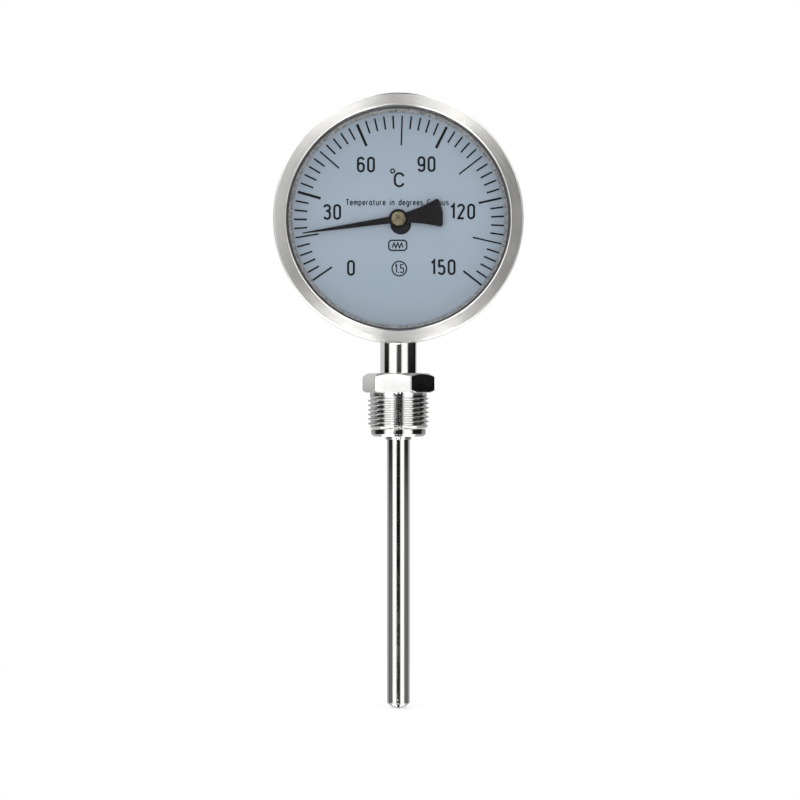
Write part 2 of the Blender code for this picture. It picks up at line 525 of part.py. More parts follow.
def make_coil():
    """The bimetal strip wound on a helix, and the anchor below it."""
    mesh = bmesh.new()
    travel = COIL_TOP_Z - COIL_BOTTOM_Z - COIL_STRIP_W
    count = COIL_TURNS * COIL_STEPS
    rows = []
    for i in range(count + 1):
        angle = 2 * math.pi * i / COIL_STEPS
        low = COIL_BOTTOM_Z + travel * i / count
        corners = [(COIL_IN_R, low), (COIL_OUT_R, low), (COIL_OUT_R, low + COIL_STRIP_W)]
        corners.append((COIL_IN_R, low + COIL_STRIP_W))
        rows.append([mesh.verts.new((r * math.cos(angle), r * math.sin(angle), z)) for r, z in corners])
    for near, far in zip(rows, rows[1:]):
        for j in range(4):
            k = (j + 1) % 4
            mesh.faces.new((near[j], near[k], far[k], far[j]))
    mesh.faces.new(rows[0])
    mesh.faces.new(rows[-1])
    add_object("bimetal_coil", mesh, "spring_steel")
    low = TIP_SPIGOT_Z + GAP
    section = [(0, low), (TIP_SPIGOT_R, low), (TIP_SPIGOT_R, low + ANCHOR_T), (ANCHOR_PIN_R, low + ANCHOR_T)]
    section += [(ANCHOR_PIN_R, COIL_BOTTOM_Z + ANCHOR_PIN_IN_COIL), (0, COIL_BOTTOM_Z + ANCHOR_PIN_IN_COIL)]
    turned("coil_anchor", section, "brass", COARSE)


def thread_radius(z, turns_round):
    """The thread's radius at a height, after so many turns round from the seam, chamfered at its end."""
    phase = ((z - NUT_BOTTOM_Z) / THREAD_PITCH - turns_round) % 1.0
    flank = min(phase, 1.0 - phase) / THREAD_FLANK_SHARE
    radius = THREAD_ROOT_R + (THREAD_CREST_R - THREAD_ROOT_R) * min(1.0, flank)
    return min(radius, THREAD_ROOT_R - THREAD_END_CUT + (z - NUT_BOTTOM_Z))


def nut_ring(mesh, radius, z):
    """One ring of the nut's points. radius is a number or a function of the angle in degrees."""
    ring = []
    for j in range(NUT_STEPS):
        degrees = 360.0 * j / NUT_STEPS
        r = radius(degrees) if callable(radius) else radius
        height = z(degrees) if callable(z) else z
        angle = math.radians(degrees)
        ring.append(mesh.verts.new((r * math.cos(angle), r * math.sin(angle), height)))
    return ring


def join_rings(mesh, rings):
    for low, high in zip(rings, rings[1:]):
        for j in range(len(low)):
            k = (j + 1) % len(low)
            mesh.faces.new((low[j], low[k], high[k], high[j]))


def hex_radius(degrees):
    """The hexagon's radius at an angle from one of its corners."""
    off_flat = abs((degrees % 60.0) - 30.0)
    return NUT_HEX_FLAT_R / math.cos(math.radians(off_flat))


def hex_chamfer_z(degrees):
    """The height where the chamfer's cone cuts the hexagon's side."""
    return NUT_TOP_Z - (hex_radius(degrees) - NUT_CHAMFER_R) * math.tan(math.radians(NUT_CHAMFER_DEG))


def make_union_nut(nut_axis):
    """The nut in one piece: helical thread, relief, hexagon, bore and a seat for the slip ring."""
    mesh = bmesh.new()
    below = nut_ring(mesh, lambda d: thread_radius(NUT_BOTTOM_Z, d / 360.0), NUT_BOTTOM_Z)
    above = nut_ring(mesh, lambda d: thread_radius(THREAD_TOP_Z, d / 360.0), THREAD_TOP_Z)
    seat_roof = NUT_BOTTOM_Z + NUT_SEAT_DEPTH
    join_rings(mesh, [
        above,
        nut_ring(mesh, RELIEF_R, THREAD_TOP_Z),
        nut_ring(mesh, RELIEF_R, NUT_HEX_Z),
        nut_ring(mesh, hex_radius, NUT_HEX_Z),
        nut_ring(mesh, hex_radius, hex_chamfer_z),
        nut_ring(mesh, NUT_CHAMFER_R, NUT_TOP_Z),
        nut_ring(mesh, NUT_BORE_R + BORE_CHAMFER, NUT_TOP_Z),
        nut_ring(mesh, NUT_BORE_R, NUT_TOP_Z - BORE_CHAMFER),
        nut_ring(mesh, NUT_BORE_R, seat_roof),
        nut_ring(mesh, NUT_SEAT_R, seat_roof),
        nut_ring(mesh, NUT_SEAT_R, NUT_BOTTOM_Z),
        below,
    ])
    # The helical strip runs past both ends and is held at the end planes, where its points merge.
    turns = int((THREAD_TOP_Z - NUT_BOTTOM_Z) / THREAD_PITCH) + 2
    shares = (0.0, THREAD_FLANK_SHARE, 1.0 - THREAD_FLANK_SHARE)
    strip = []
    for n in range(-NUT_STEPS, turns * NUT_STEPS + 1):
        angle = 2 * math.pi * n / NUT_STEPS
        points = []
        for share in shares:
            z = NUT_BOTTOM_Z + THREAD_PITCH * (share + n / NUT_STEPS)
            z = min(max(z, NUT_BOTTOM_Z), THREAD_TOP_Z)
            r = thread_radius(z, n / NUT_STEPS)
            points.append(mesh.verts.new((r * math.cos(angle), r * math.sin(angle), z)))
        strip.append(points)
    for n in range(len(strip) - 1):
        near, far = strip[n], strip[n + 1]
        for m in range(len(shares) - 1):
            mesh.faces.new((near[m], far[m], far[m + 1], near[m + 1]))
        if n + 1 + NUT_STEPS < len(strip):
            next_near, next_far = strip[n + NUT_STEPS], strip[n + 1 + NUT_STEPS]
            mesh.faces.new((near[-1], far[-1], next_far[0], next_near[0]))
    add_object("union_nut", mesh, "polished_steel", turn_deg=NUT_TURN_DEG, parent=nut_axis)
    tube(
        "slip_ring", SLIP_RING_R, NECK_R + GAP, NUT_BOTTOM_Z, NUT_BOTTOM_Z + SLIP_RING_T, "brass",
        parent=nut_axis,
    )


def main():
    for old in list(bpy.data.objects):
        bpy.data.objects.remove(old, do_unlink=True)
    spindle_axis = empty("spindle_axis", DIAL_Z)
    shaft_axis = empty("shaft_axis", 0.0)
    nut_axis = empty("nut_axis", 0.0)
    make_bezel()
    make_window_stack()
    make_dial()
    make_case()
    make_pointer(spindle_axis)
    make_spindle(spindle_axis)
    make_frame()
    make_screw("frame_screw_left", -SCREW_X)
    make_screw("frame_screw_right", SCREW_X)
    make_gears(shaft_axis, spindle_axis)
    make_neck()
    make_collar()
    make_stem()
    make_shaft(shaft_axis)
    make_coil()
    make_union_nut(nut_axis)


main()
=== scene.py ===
"""The looks of a bottom-connected bimetal dial thermometer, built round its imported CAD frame."""

import math

import bmesh
import bpy
from mathutils import Matrix, Vector


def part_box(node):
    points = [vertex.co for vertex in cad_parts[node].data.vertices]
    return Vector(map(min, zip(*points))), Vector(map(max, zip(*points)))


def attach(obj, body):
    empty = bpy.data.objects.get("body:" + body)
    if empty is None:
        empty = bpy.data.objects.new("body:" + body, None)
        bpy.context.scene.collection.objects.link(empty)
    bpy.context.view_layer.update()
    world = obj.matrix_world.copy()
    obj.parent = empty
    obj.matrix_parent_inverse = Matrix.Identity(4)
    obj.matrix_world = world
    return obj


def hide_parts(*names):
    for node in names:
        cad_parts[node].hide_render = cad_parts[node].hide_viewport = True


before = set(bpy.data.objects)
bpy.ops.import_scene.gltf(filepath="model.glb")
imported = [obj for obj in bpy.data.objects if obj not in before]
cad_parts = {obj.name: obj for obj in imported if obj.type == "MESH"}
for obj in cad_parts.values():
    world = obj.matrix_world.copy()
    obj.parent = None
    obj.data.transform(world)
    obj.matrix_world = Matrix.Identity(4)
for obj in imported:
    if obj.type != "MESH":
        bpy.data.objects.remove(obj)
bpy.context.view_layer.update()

MM = 0.001


def span(node, axis):
    """A CAD node's lowest and highest coordinate along one axis, in millimetres."""
    low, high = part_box(node)
    return low[axis] / MM, high[axis] / MM


# Places that come from the frame, in millimetres
BEZEL_LOW_Z, BEZEL_HIGH_Z = span("bezel_ring", 2)
DIAL_Z = (BEZEL_LOW_Z + BEZEL_HIGH_Z) / 2
BEZEL_R = (BEZEL_HIGH_Z - BEZEL_LOW_Z) / 2
BEZEL_FRONT_Y, BEZEL_REAR_Y = span("bezel_ring", 1)
WINDOW_FRONT_Y, WINDOW_BACK_Y = span("window_glass", 1)
WINDOW_R = span("window_glass", 0)[1]
SPACER_FRONT_Y, SPACER_BACK_Y = span("spacer_ring", 1)
DIAL_FRONT_Y, DIAL_BACK_Y = span("dial_plate", 1)
DIAL_R = span("dial_plate", 0)[1]
CASE_FRONT_Y, CASE_BACK_Y = span("case_shell", 1)
CASE_RIM_R = span("case_shell", 0)[1]
POINTER_FRONT_Y, POINTER_BACK_Y = span("pointer", 1)
HUB_FRONT_Y, HUB_BACK_Y = span("pointer_hub", 1)
HUB_R = span("pointer_hub", 0)[1]
NECK_BOTTOM_Z, NECK_TOP_Z = span("neck_tube", 2)
NECK_R = span("neck_tube", 0)[1]
NUT_BOTTOM_Z, NUT_TOP_Z = span("union_nut", 2)
SLIP_BOTTOM_Z, SLIP_TOP_Z = span("slip_ring", 2)
SLIP_R = span("slip_ring", 0)[1]
COLLAR_BOTTOM_Z, COLLAR_TOP_Z = span("collar", 2)
COLLAR_R = span("collar", 0)[1]
STEM_BOTTOM_Z, STEM_TOP_Z = span("stem_tube", 2)
STEM_R = span("stem_tube", 0)[1]
TIP_BOTTOM_Z, TIP_TOP_Z = span("stem_tip", 2)

# Shapes that the frame's boxes don't give
BEZEL_WALL, APERTURE_R = 1.2, 48.4
BEZEL_CRIMP_R, BEZEL_CRIMP_T, BEZEL_SEAT_GAP = 50.7, 0.7, 0.3
BEZEL_FRONT_CORNER_R, BEZEL_REAR_CORNER_R, BEZEL_LIP_CORNER_R = 0.6, 1.0, 0.55
SPACER_IN_R, SPACER_SLOPE_R, SPACER_SLOPE_DEPTH = 46.2, 47.9, 1.8
SPACER_SPLIT_DEG, SPACER_SPLIT_W = 200.0, 1.2
DIAL_HOLE_R, DIAL_HOLE_X, DIAL_HOLE_Z = 4.6, 1.0, -2.1
CASE_DRUM_R, CASE_WALL, CASE_LEDGE_Y, CASE_CORNER_R = 50.2, 0.8, -11.2, 6.0
CASE_STEP_FRONT, CASE_STEP_REAR = 0.9, 1.5  # outside of the step, behind the ledge
NECK_BORE_R = 5.4
STEM_BORE_R, TIP_SPIGOT_R = 4.0, 3.7
STEM_EXTENSION, TIP_GAP, TIP_LAND, TIP_DOME_STEPS = 0.28, 0.3, 0.1, 16
COLLAR_HUB_R, COLLAR_CHAMFER, COLLAR_CHAMFER_H = 5.7, 1.15, 1.0
COLLAR_BORE_R, COLLAR_BORE_CHAMFER = STEM_R + 0.05, 0.25
SLIP_BORE_R = NECK_R + 0.3
NUT_BORE_R, NUT_HEX_Z, NUT_HEX_FLAT_R, NUT_TURN_DEG = 8.45, 19.3, 14.0, -9.7
NUT_CHAMFER_R, NUT_LOWER_CHAMFER_R, NUT_CHAMFER_DEG, NUT_CORNER_R = 13.3, 14.6, 30.0, 0.5
THREAD_TOP_Z, THREAD_CREST_R, THREAD_ROOT_R, THREAD_PITCH, RELIEF_R = 17.6, 13.4, 12.2, 2.0, 12.5
THREAD_LAND, THREAD_FLANK_STEPS = 0.154, 4  # the land is a share of the pitch, for 60 degree flanks
NUT_SEAT_R, NUT_SEAT_DEPTH, NUT_EDGE = 11.0, 1.0, 0.15
NUT_CORNER_STEPS = (-1.4, -0.9, -0.5, 0.5, 0.9, 1.4)  # in degrees
RELIEF_FILLET_R, RELIEF_FILLET_MID, THREAD_END_CUT = 0.3, 0.09, 0.1

SCALE_START_DEG, DEG_PER_DEGREE_C = -124.6, 1.684
SCALE_END_C, DIVISION_C, LONG_TICK_C = 150, 3, 15
REST_READING_C = 15.5
TICK_OUT_R, TICK_LONG_IN_R, TICK_SHORT_IN_R = 45.7, 35.4, 40.0
TICK_WIDTH, TICK_SHORT_WIDTH = 0.68, 0.74
TICK_WIDTHS = {0: 0.80, 30: 1.15, 60: 1.15, 90: 1.15, 120: 0.92, 150: 0.85}  # by reading
TICK_INNERS = {45: 34.6, 75: 32.8, 105: 33.0, 135: 32.8}
POINTER_BOSS_R, POINTER_LENGTH, POINTER_WIDTH, POINTER_TIP_W = 4.2, 42.2, 3.0, 0.5
TAIL_LENGTH, TAIL_WIDTH, TAIL_ROOT_W, TAIL_CORNER_R = 19.5, 12.2, 4.4, 1.2
TAIL_HOLLOW, TAIL_SIDE_RISE, TAIL_CORNER_RISE, TAIL_STEPS = 0.35, 1.9, 0.7, 9
POINTER_EDGE_R, POINTER_END_SHARE, POINTER_END_LENGTH = 0.09, 0.6, 0.4
HUB_TUBE_R, HUB_BORE_R, HUB_GAP = 1.55, 0.82, 0.05

SEGMENTS_LARGE, SEGMENTS_MEDIUM, SEGMENTS_SMALL = 288, 192, 128


# ---------------------------------------------------------------- materials

def node(tree, kind, inputs=None, **props):
    """A shader node with its settings and inputs. An input is a value or another node's output."""
    made = tree.nodes.new(kind)
    for key, value in props.items():
        setattr(made, key, value)
    for key, value in (inputs or {}).items():
        if isinstance(value, bpy.types.NodeSocket):
            tree.links.new(value, made.inputs[key])
        else:
            made.inputs[key].default_value = value
    return made


def calc(tree, operation, a, b=0.0):
    return node(tree, "ShaderNodeMath", {0: a, 1: b}, operation=operation).outputs[0]


def ramp(tree, value, low, high, out_low=0.0, out_high=1.0, kind="LINEAR"):
    """value's range low to high, turned into out_low to out_high."""
    inputs = {"Value": value, "From Min": low, "From Max": high, "To Min": out_low, "To Max": out_high}
    return node(tree, "ShaderNodeMapRange", inputs, interpolation_type=kind).outputs["Result"]


def mix(tree, amount, a, b):
    """Colour a where amount is 0 and b where it is 1."""
    made = node(tree, "ShaderNodeMix", data_type="RGBA")
    for index, value in ((0, amount), (6, a), (7, b)):
        if isinstance(value, bpy.types.NodeSocket):
            tree.links.new(value, made.inputs[index])
        else:
            made.inputs[index].default_value = (*value, 1.0) if index else value
    return made.outputs[2]


def noise(tree, vector, scale, detail=2.0, roughness=0.5, distortion=0.0):
    """Noise from 0 to 1. scale is how many features there are in a metre of the vector."""
    inputs = {"Vector": vector, "Scale": scale, "Detail": detail, "Roughness": roughness,
              "Distortion": distortion}
    return node(tree, "ShaderNodeTexNoise", inputs).outputs["Fac"]


SLOW_TURN = 0.0006  # how far, in metres, the noise moves once round an axis


def place(tree):
    return node(tree, "ShaderNodeTexCoord").outputs["Object"]


def turned_place(tree, axis, centre_z=0.0):
    """Coordinates in which noise becomes grooves round an axis. They change slowly round it."""
    apart = node(tree, "ShaderNodeSeparateXYZ", {0: place(tree)})
    x, y, z = apart.outputs
    if axis == "Y":
        across, height = calc(tree, "SUBTRACT", z, centre_z * MM), y
    else:
        across, height = y, z
    radius = calc(tree, "POWER", calc(tree, "ADD", calc(tree, "MULTIPLY", x, x),
                                      calc(tree, "MULTIPLY", across, across)), 0.5)
    safe = calc(tree, "MAXIMUM", radius, 1e-5)
    return node(tree, "ShaderNodeCombineXYZ", {
        0: calc(tree, "ADD", radius, height),
        1: calc(tree, "MULTIPLY", calc(tree, "DIVIDE", x, safe), SLOW_TURN),
        2: calc(tree, "MULTIPLY", calc(tree, "DIVIDE", across, safe), SLOW_TURN),
    }).outputs[0]


def bump(tree, height, strength, distance_mm, under=None):
    inputs = {"Height": height, "Strength": strength, "Distance": distance_mm * MM}
    if under is not None:
        inputs["Normal"] = under
    return node(tree, "ShaderNodeBump", inputs).outputs["Normal"]


def start(name):
    """A new material: its tree and its Principled shader."""
    made = bpy.data.materials.new(name)
    made.use_nodes = True
    return made, made.node_tree, made.node_tree.nodes["Principled BSDF"]


def put(tree, shader, **values):
    """Links or sets a shader's inputs. Names use _ for spaces."""
    for key, value in values.items():
        name = key.replace("_", " ")
        if isinstance(value, bpy.types.NodeSocket):
            tree.links.new(value, shader.inputs[name])
        else:
            shader.inputs[name].default_value = value


def steel(name, colour, rough, axis=None, centre_z=0.0, anisotropy=0.0, groove=7000.0, groove_depth=0.1,
          smudge=0.3, cross=0.0):
    """Bare metal with lathe or belt marks, faint smudges and fine scratches."""
    made, tree, shader = start(name)
    where = place(tree)
    marks_at = turned_place(tree, axis, centre_z) if axis else where
    grain = noise(tree, marks_at, groove, 3.0, 0.65)
    cloud = noise(tree, where, 90.0, 3.0, 0.55, 0.4)
    speck = noise(tree, where, 2600.0, 2.0, 0.6)
    dark = tuple(c * 0.93 for c in colour)
    light = tuple(min(1.0, c * 1.04) for c in colour)
    tint = mix(tree, ramp(tree, grain, 0.35, 0.65), dark, light)
    tint = mix(tree, ramp(tree, cloud, 0.45, 0.75, 0.0, 0.35), tint, tuple(c * f for c, f in
                                                                      zip(colour, (0.97, 0.955, 0.92))))
    low, high = rough * (1 - smudge), rough * (1 + smudge)
    roughness = calc(tree, "ADD", ramp(tree, cloud, 0.35, 0.7, low, high),
                     ramp(tree, grain, 0.3, 0.7, -0.12 * rough, 0.12 * rough))
    normal = bump(tree, grain, groove_depth, 0.02)
    normal = bump(tree, speck, groove_depth * 0.4, 0.01, normal)
    put(tree, shader, Base_Color=tint, Metallic=1.0, Roughness=roughness, Normal=normal)
    if anisotropy:
        shader.inputs["Anisotropic"].default_value = anisotropy
        shader.inputs["Anisotropic Rotation"].default_value = cross
        tangent = node(tree, "ShaderNodeTangent", direction_type="RADIAL", axis=axis)
        tree.links.new(tangent.outputs[0], shader.inputs["Tangent"])
    return made


def brass(name, axis, centre_z=0.0, light=(0.74, 0.63, 0.32), dark=(0.60, 0.50, 0.22),
          stain=(0.36, 0.29, 0.13), stained=0.6):
    """Turned brass, tarnished in patches."""
    made, tree, shader = start(name)
    where = place(tree)
    grain = noise(tree, turned_place(tree, axis, centre_z), 6500.0, 3.0, 0.6)
    cloud = noise(tree, where, 420.0, 3.0, 0.6, 0.5)
    tint = mix(tree, ramp(tree, grain, 0.35, 0.65), dark, light)
    tint = mix(tree, ramp(tree, cloud, 0.5, 0.75, 0.0, stained), tint, stain)
    rough = ramp(tree, cloud, 0.35, 0.75, 0.2, 0.45)
    put(tree, shader, Base_Color=tint, Metallic=1.0, Roughness=rough,
        Normal=bump(tree, grain, 0.25, 0.02))
    return made


def dial_paint():
    """Silver-blue satin lacquer with a faint orange peel and a slow change of tone."""
    made, tree, shader = start("dial_paint")
    where = place(tree)
    cloud = noise(tree, where, 22.0, 2.0, 0.5, 0.3)
    fine = noise(tree, where, 2400.0, 3.0, 0.6)
    tint = mix(tree, ramp(tree, cloud, 0.35, 0.65), (0.246, 0.300, 0.356), (0.262, 0.309, 0.367))
    tint = mix(tree, ramp(tree, fine, 0.35, 0.7, 0.0, 0.25), tint, (0.233, 0.281, 0.336))
    rough = ramp(tree, fine, 0.3, 0.7, 0.42, 0.52)
    put(tree, shader, Base_Color=tint, Roughness=rough, Normal=bump(tree, fine, 0.12, 0.02))
    shader.inputs["Specular IOR Level"].default_value = 0.25
    return made


def ink():
    """Screen-printed black, slightly uneven."""
    made, tree, shader = start("printed_black")
    shader.inputs["Specular IOR Level"].default_value = 0.12
    fine = noise(tree, place(tree), 1800.0, 3.0, 0.6)
    tint = mix(tree, ramp(tree, fine, 0.35, 0.7), (0.002, 0.002, 0.003), (0.008, 0.009, 0.011))
    put(tree, shader, Base_Color=tint, Roughness=ramp(tree, fine, 0.3, 0.7, 0.5, 0.65),
        Normal=bump(tree, fine, 0.1, 0.01))
    return made


def pointer_paint():
    """Matt black stoving paint with a fine texture, rubbed a little lighter in random patches."""
    made, tree, shader = start("pointer_black")
    shader.inputs["Specular IOR Level"].default_value = 0.15
    fine = noise(tree, place(tree), 3200.0, 4.0, 0.6)
    cloud = noise(tree, place(tree), 160.0, 2.0, 0.5)
    tint = mix(tree, ramp(tree, fine, 0.35, 0.7), (0.001, 0.001, 0.0015), (0.007, 0.006, 0.008))
    tint = mix(tree, ramp(tree, cloud, 0.5, 0.8, 0.0, 0.4), tint, (0.012, 0.010, 0.013))
    put(tree, shader, Base_Color=tint, Roughness=ramp(tree, cloud, 0.3, 0.7, 0.38, 0.55),
        Normal=bump(tree, fine, 0.25, 0.02))
    return made


def stippled_grey():
    """The spacer ring's rough zinc: light and dark specks on mid grey."""
    made, tree, shader = start("ring_grey")
    where = place(tree)
    cells = node(tree, "ShaderNodeTexVoronoi", {"Vector": where, "Scale": 760.0}).outputs["Distance"]
    fine = noise(tree, where, 1500.0, 3.0, 0.7)
    cloud = noise(tree, where, 60.0, 2.0, 0.5)
    tint = mix(tree, ramp(tree, fine, 0.38, 0.62), (0.17, 0.17, 0.175), (0.44, 0.44, 0.445))
    tint = mix(tree, ramp(tree, cells, 0.1, 0.5, 0.9, 0.0), tint, (0.03, 0.03, 0.032))
    tint = mix(tree, ramp(tree, cloud, 0.4, 0.7, 0.0, 0.35), tint, (0.20, 0.20, 0.21))
    height = calc(tree, "ADD", fine, cells)
    put(tree, shader, Base_Color=tint, Metallic=0.4, Roughness=ramp(tree, fine, 0.3, 0.7, 0.4, 0.65),
        Normal=bump(tree, height, 0.5, 0.08))
    return made


def rubber():
    made, tree, shader = start("gasket_rubber")
    fine = noise(tree, place(tree), 2200.0, 3.0, 0.6)
    tint = mix(tree, ramp(tree, fine, 0.35, 0.7), (0.035, 0.035, 0.037), (0.075, 0.075, 0.078))
    put(tree, shader, Base_Color=tint, Roughness=ramp(tree, fine, 0.3, 0.7, 0.6, 0.8),
        Normal=bump(tree, fine, 0.3, 0.03))
    return made


def clear_glass():
    """Float glass, with the faintest haze of dust in its tint."""
    made, tree, shader = start("window_clear")
    cloud = noise(tree, place(tree), 70.0, 3.0, 0.6)
    tint = mix(tree, ramp(tree, cloud, 0.4, 0.7), (0.97, 0.985, 0.985), (0.985, 0.995, 0.99))
    put(tree, shader, Base_Color=tint, Roughness=0.0, Transmission_Weight=1.0, IOR=1.5)
    return made


def bimetal_strip():
    """Rolled strip with straw-coloured heat tint."""
    made, tree, shader = start("bimetal_strip")
    where = place(tree)
    grain = noise(tree, turned_place(tree, "Z"), 5200.0, 3.0, 0.6)
    cloud = noise(tree, where, 260.0, 3.0, 0.6)
    tint = mix(tree, ramp(tree, grain, 0.35, 0.65), (0.36, 0.33, 0.29), (0.50, 0.46, 0.41))
    tint = mix(tree, ramp(tree, cloud, 0.45, 0.75, 0.0, 0.6), tint, (0.46, 0.35, 0.20))
    put(tree, shader, Base_Color=tint, Metallic=1.0, Roughness=ramp(tree, cloud, 0.3, 0.7, 0.25, 0.4),
        Normal=bump(tree, grain, 0.2, 0.02))
    return made


BEZEL = steel("bezel_turned", (0.80, 0.79, 0.765), 0.20, "Y", DIAL_Z, anisotropy=0.8, groove=9000.0,
              groove_depth=0.05, smudge=0.05, cross=0.25)
CASE = steel("case_satin", (0.70, 0.695, 0.68), 0.30, "Y", DIAL_Z, anisotropy=0.6, groove=6000.0,
             groove_depth=0.2, smudge=0.1)
POLISHED = steel("tube_polished", (0.78, 0.775, 0.76), 0.07, "Z", anisotropy=0.3, groove=5200.0,
                 groove_depth=0.006, smudge=0.3)
NUT_METAL = steel("nut_polished", (0.80, 0.80, 0.79), 0.09, "Z", groove=4200.0, groove_depth=0.01,
                  smudge=0.3)
INNER_Y = steel("inner_turned_y", (0.52, 0.53, 0.55), 0.32, "Y", DIAL_Z, groove=6000.0, groove_depth=0.2)
INNER_Z = steel("inner_turned_z", (0.52, 0.53, 0.55), 0.32, "Z", groove=6000.0, groove_depth=0.2)
# Painted shade: the movement frame is coloured near black so that what shows through the dial's hole
# looks as dark as the shaded inside of the case.
SHADE_BLACK_STEEL = steel("steel_painted_shade_black", (0.030, 0.031, 0.034), 0.42, groove=1500.0, groove_depth=0.3)
BRASS_Y = brass("brass_turned_y", "Y", DIAL_Z)
BRASS_Z = brass("brass_turned_z", "Z")
BRASS_HUB = brass("brass_hub", "Y", DIAL_Z, light=(0.27, 0.235, 0.15), dark=(0.17, 0.145, 0.09),
                  stain=(0.07, 0.058, 0.035), stained=0.85)
PAINT, INK, BLACK, GREY, RUBBER, GLASS, STRIP = (
    dial_paint(), ink(), pointer_paint(), stippled_grey(), rubber(), clear_glass(), bimetal_strip())


# ---------------------------------------------------------------- mesh tools

WELD_MM, SLIVER_MM = 0.0004, 0.0001
ARC_STEP_DEG = 14


def finish_mesh(name, mesh, material, body, replaced=(), sharp_deg=35.0):
    """Makes a piece in metres from a bmesh in millimetres, and rides it on its body."""
    bmesh.ops.remove_doubles(mesh, verts=mesh.verts, dist=WELD_MM)
    bmesh.ops.dissolve_degenerate(mesh, edges=mesh.edges, dist=SLIVER_MM)
    bmesh.ops.recalc_face_normals(mesh, faces=mesh.faces)
    bmesh.ops.scale(mesh, verts=mesh.verts, vec=(MM, MM, MM))
    data = bpy.data.meshes.new(name)
    mesh.to_mesh(data)
    mesh.free()
    data.materials.append(material)
    data.shade_smooth()
    data.set_sharp_from_angle(angle=math.radians(sharp_deg))
    made = bpy.data.objects.new(name, data)
    bpy.context.scene.collection.objects.link(made)
    weighted = made.modifiers.new("face_weighted_normals", "WEIGHTED_NORMAL")
    weighted.keep_sharp = True
    weighted.weight = 100
    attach(made, body)
    if replaced:
        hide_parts(*replaced)
    return made


def rounded(corners):
    """A closed section's corners (a, b, radius) as points, with an arc at each one that has a radius."""
    points = []
    count = len(corners)
    for i, (a, b, radius) in enumerate(corners):
        here = Vector((a, b))
        if radius <= 0:
            points.append((a, b))
            continue
        back = (Vector(corners[i - 1][:2]) - here).normalized()
        on = (Vector(corners[(i + 1) % count][:2]) - here).normalized()
        half = back.angle(on) / 2
        reach = radius / math.tan(half)
        middle = here + (back + on).normalized() * (radius / math.sin(half))
        begin, end = here + back * reach - middle, here + on * reach - middle
        turn = begin.angle_signed(end)
        steps = max(2, round(abs(math.degrees(turn)) / ARC_STEP_DEG))
        for step in range(steps + 1):
            spoke = begin.copy()
            spoke.rotate(Matrix.Rotation(-turn * step / steps, 2))
            points.append(tuple(middle + spoke))
    return points


def at(axis, radius, height, degrees, centre_z):
    """A point of a turned body. Round Y, degrees run clockwise from the top, seen from the front."""
    angle = math.radians(degrees)
    if axis == "Y":
        return radius * math.sin(angle), height, centre_z + radius * math.cos(angle)
    return radius * math.cos(angle), radius * math.sin(angle), height


def lathe(name, corners, material, body="root", replaced=(), slot=None, axis="Z", centre_z=0.0,
          segments=SEGMENTS_SMALL, start_deg=0.0, sweep_deg=360.0):
    """A turned piece from a closed section of (radius, height, corner radius)."""
    section = rounded(corners)
    mesh = bmesh.new()
    whole = sweep_deg >= 360.0
    count = segments if whole else segments + 1
    rows = []
    for j in range(count):
        degrees = start_deg + sweep_deg * j / segments
        rows.append([mesh.verts.new(at(axis, r, h, degrees, centre_z)) for r, h in section])
    size = len(section)
    for j in range(segments):
        near, far = rows[j], rows[(j + 1) % count]
        for i in range(size):
            k = (i + 1) % size
            if section[i][0] < 1e-6 and section[k][0] < 1e-6:
                continue
            mesh.faces.new((near[i], near[k], far[k], far[i]))
    if not whole:
        mesh.faces.new(rows[0])
        mesh.faces.new(rows[-1])
    return finish_mesh(name, mesh, material, body, replaced)


# ---------------------------------------------------------------- the head

ROUND_THE_DIAL = {"axis": "Y", "centre_z": DIAL_Z, "segments": SEGMENTS_LARGE}


def make_bezel():
    wall_r = BEZEL_R - BEZEL_WALL
    seat_y = WINDOW_FRONT_Y - BEZEL_SEAT_GAP
    lathe("bezel", [
        (BEZEL_R, BEZEL_REAR_Y, BEZEL_REAR_CORNER_R),
        (BEZEL_R, BEZEL_FRONT_Y, BEZEL_FRONT_CORNER_R),
        (APERTURE_R, BEZEL_FRONT_Y, BEZEL_LIP_CORNER_R),
        (APERTURE_R, seat_y, 0.1),
        (wall_r, seat_y, 0.2),
        (wall_r, BEZEL_REAR_Y - BEZEL_CRIMP_T, 0.5),
        (BEZEL_CRIMP_R, BEZEL_REAR_Y - BEZEL_CRIMP_T, 0.25),
        (BEZEL_CRIMP_R, BEZEL_REAR_Y, 0.25),
    ], BEZEL, replaced=["bezel_ring"], slot="bezel_steel", **ROUND_THE_DIAL)


def make_window():
    pane = lathe("window", [
        (0.0, WINDOW_FRONT_Y, 0),
        (WINDOW_R, WINDOW_FRONT_Y, 0.2),
        (WINDOW_R, WINDOW_BACK_Y, 0.2),
        (0.0, WINDOW_BACK_Y, 0),
    ], GLASS, replaced=["window_glass"], slot="window", **ROUND_THE_DIAL)
    pane.visible_shadow = False
    pane.visible_diffuse = False


def make_spacer():
    split_deg = math.degrees(SPACER_SPLIT_W / SPACER_IN_R)
    lathe("spacer", [
        (SPACER_IN_R, SPACER_BACK_Y, 0.1),
        (DIAL_R, SPACER_BACK_Y, 0.1),
        (DIAL_R, SPACER_FRONT_Y, 0.15),
        (SPACER_SLOPE_R, SPACER_FRONT_Y, 0.3),
        (SPACER_IN_R, SPACER_FRONT_Y + SPACER_SLOPE_DEPTH, 0.2),
    ], GREY, replaced=["spacer_ring"], slot="ring_grey", start_deg=SPACER_SPLIT_DEG + split_deg / 2,
        sweep_deg=360 - split_deg, **ROUND_THE_DIAL)


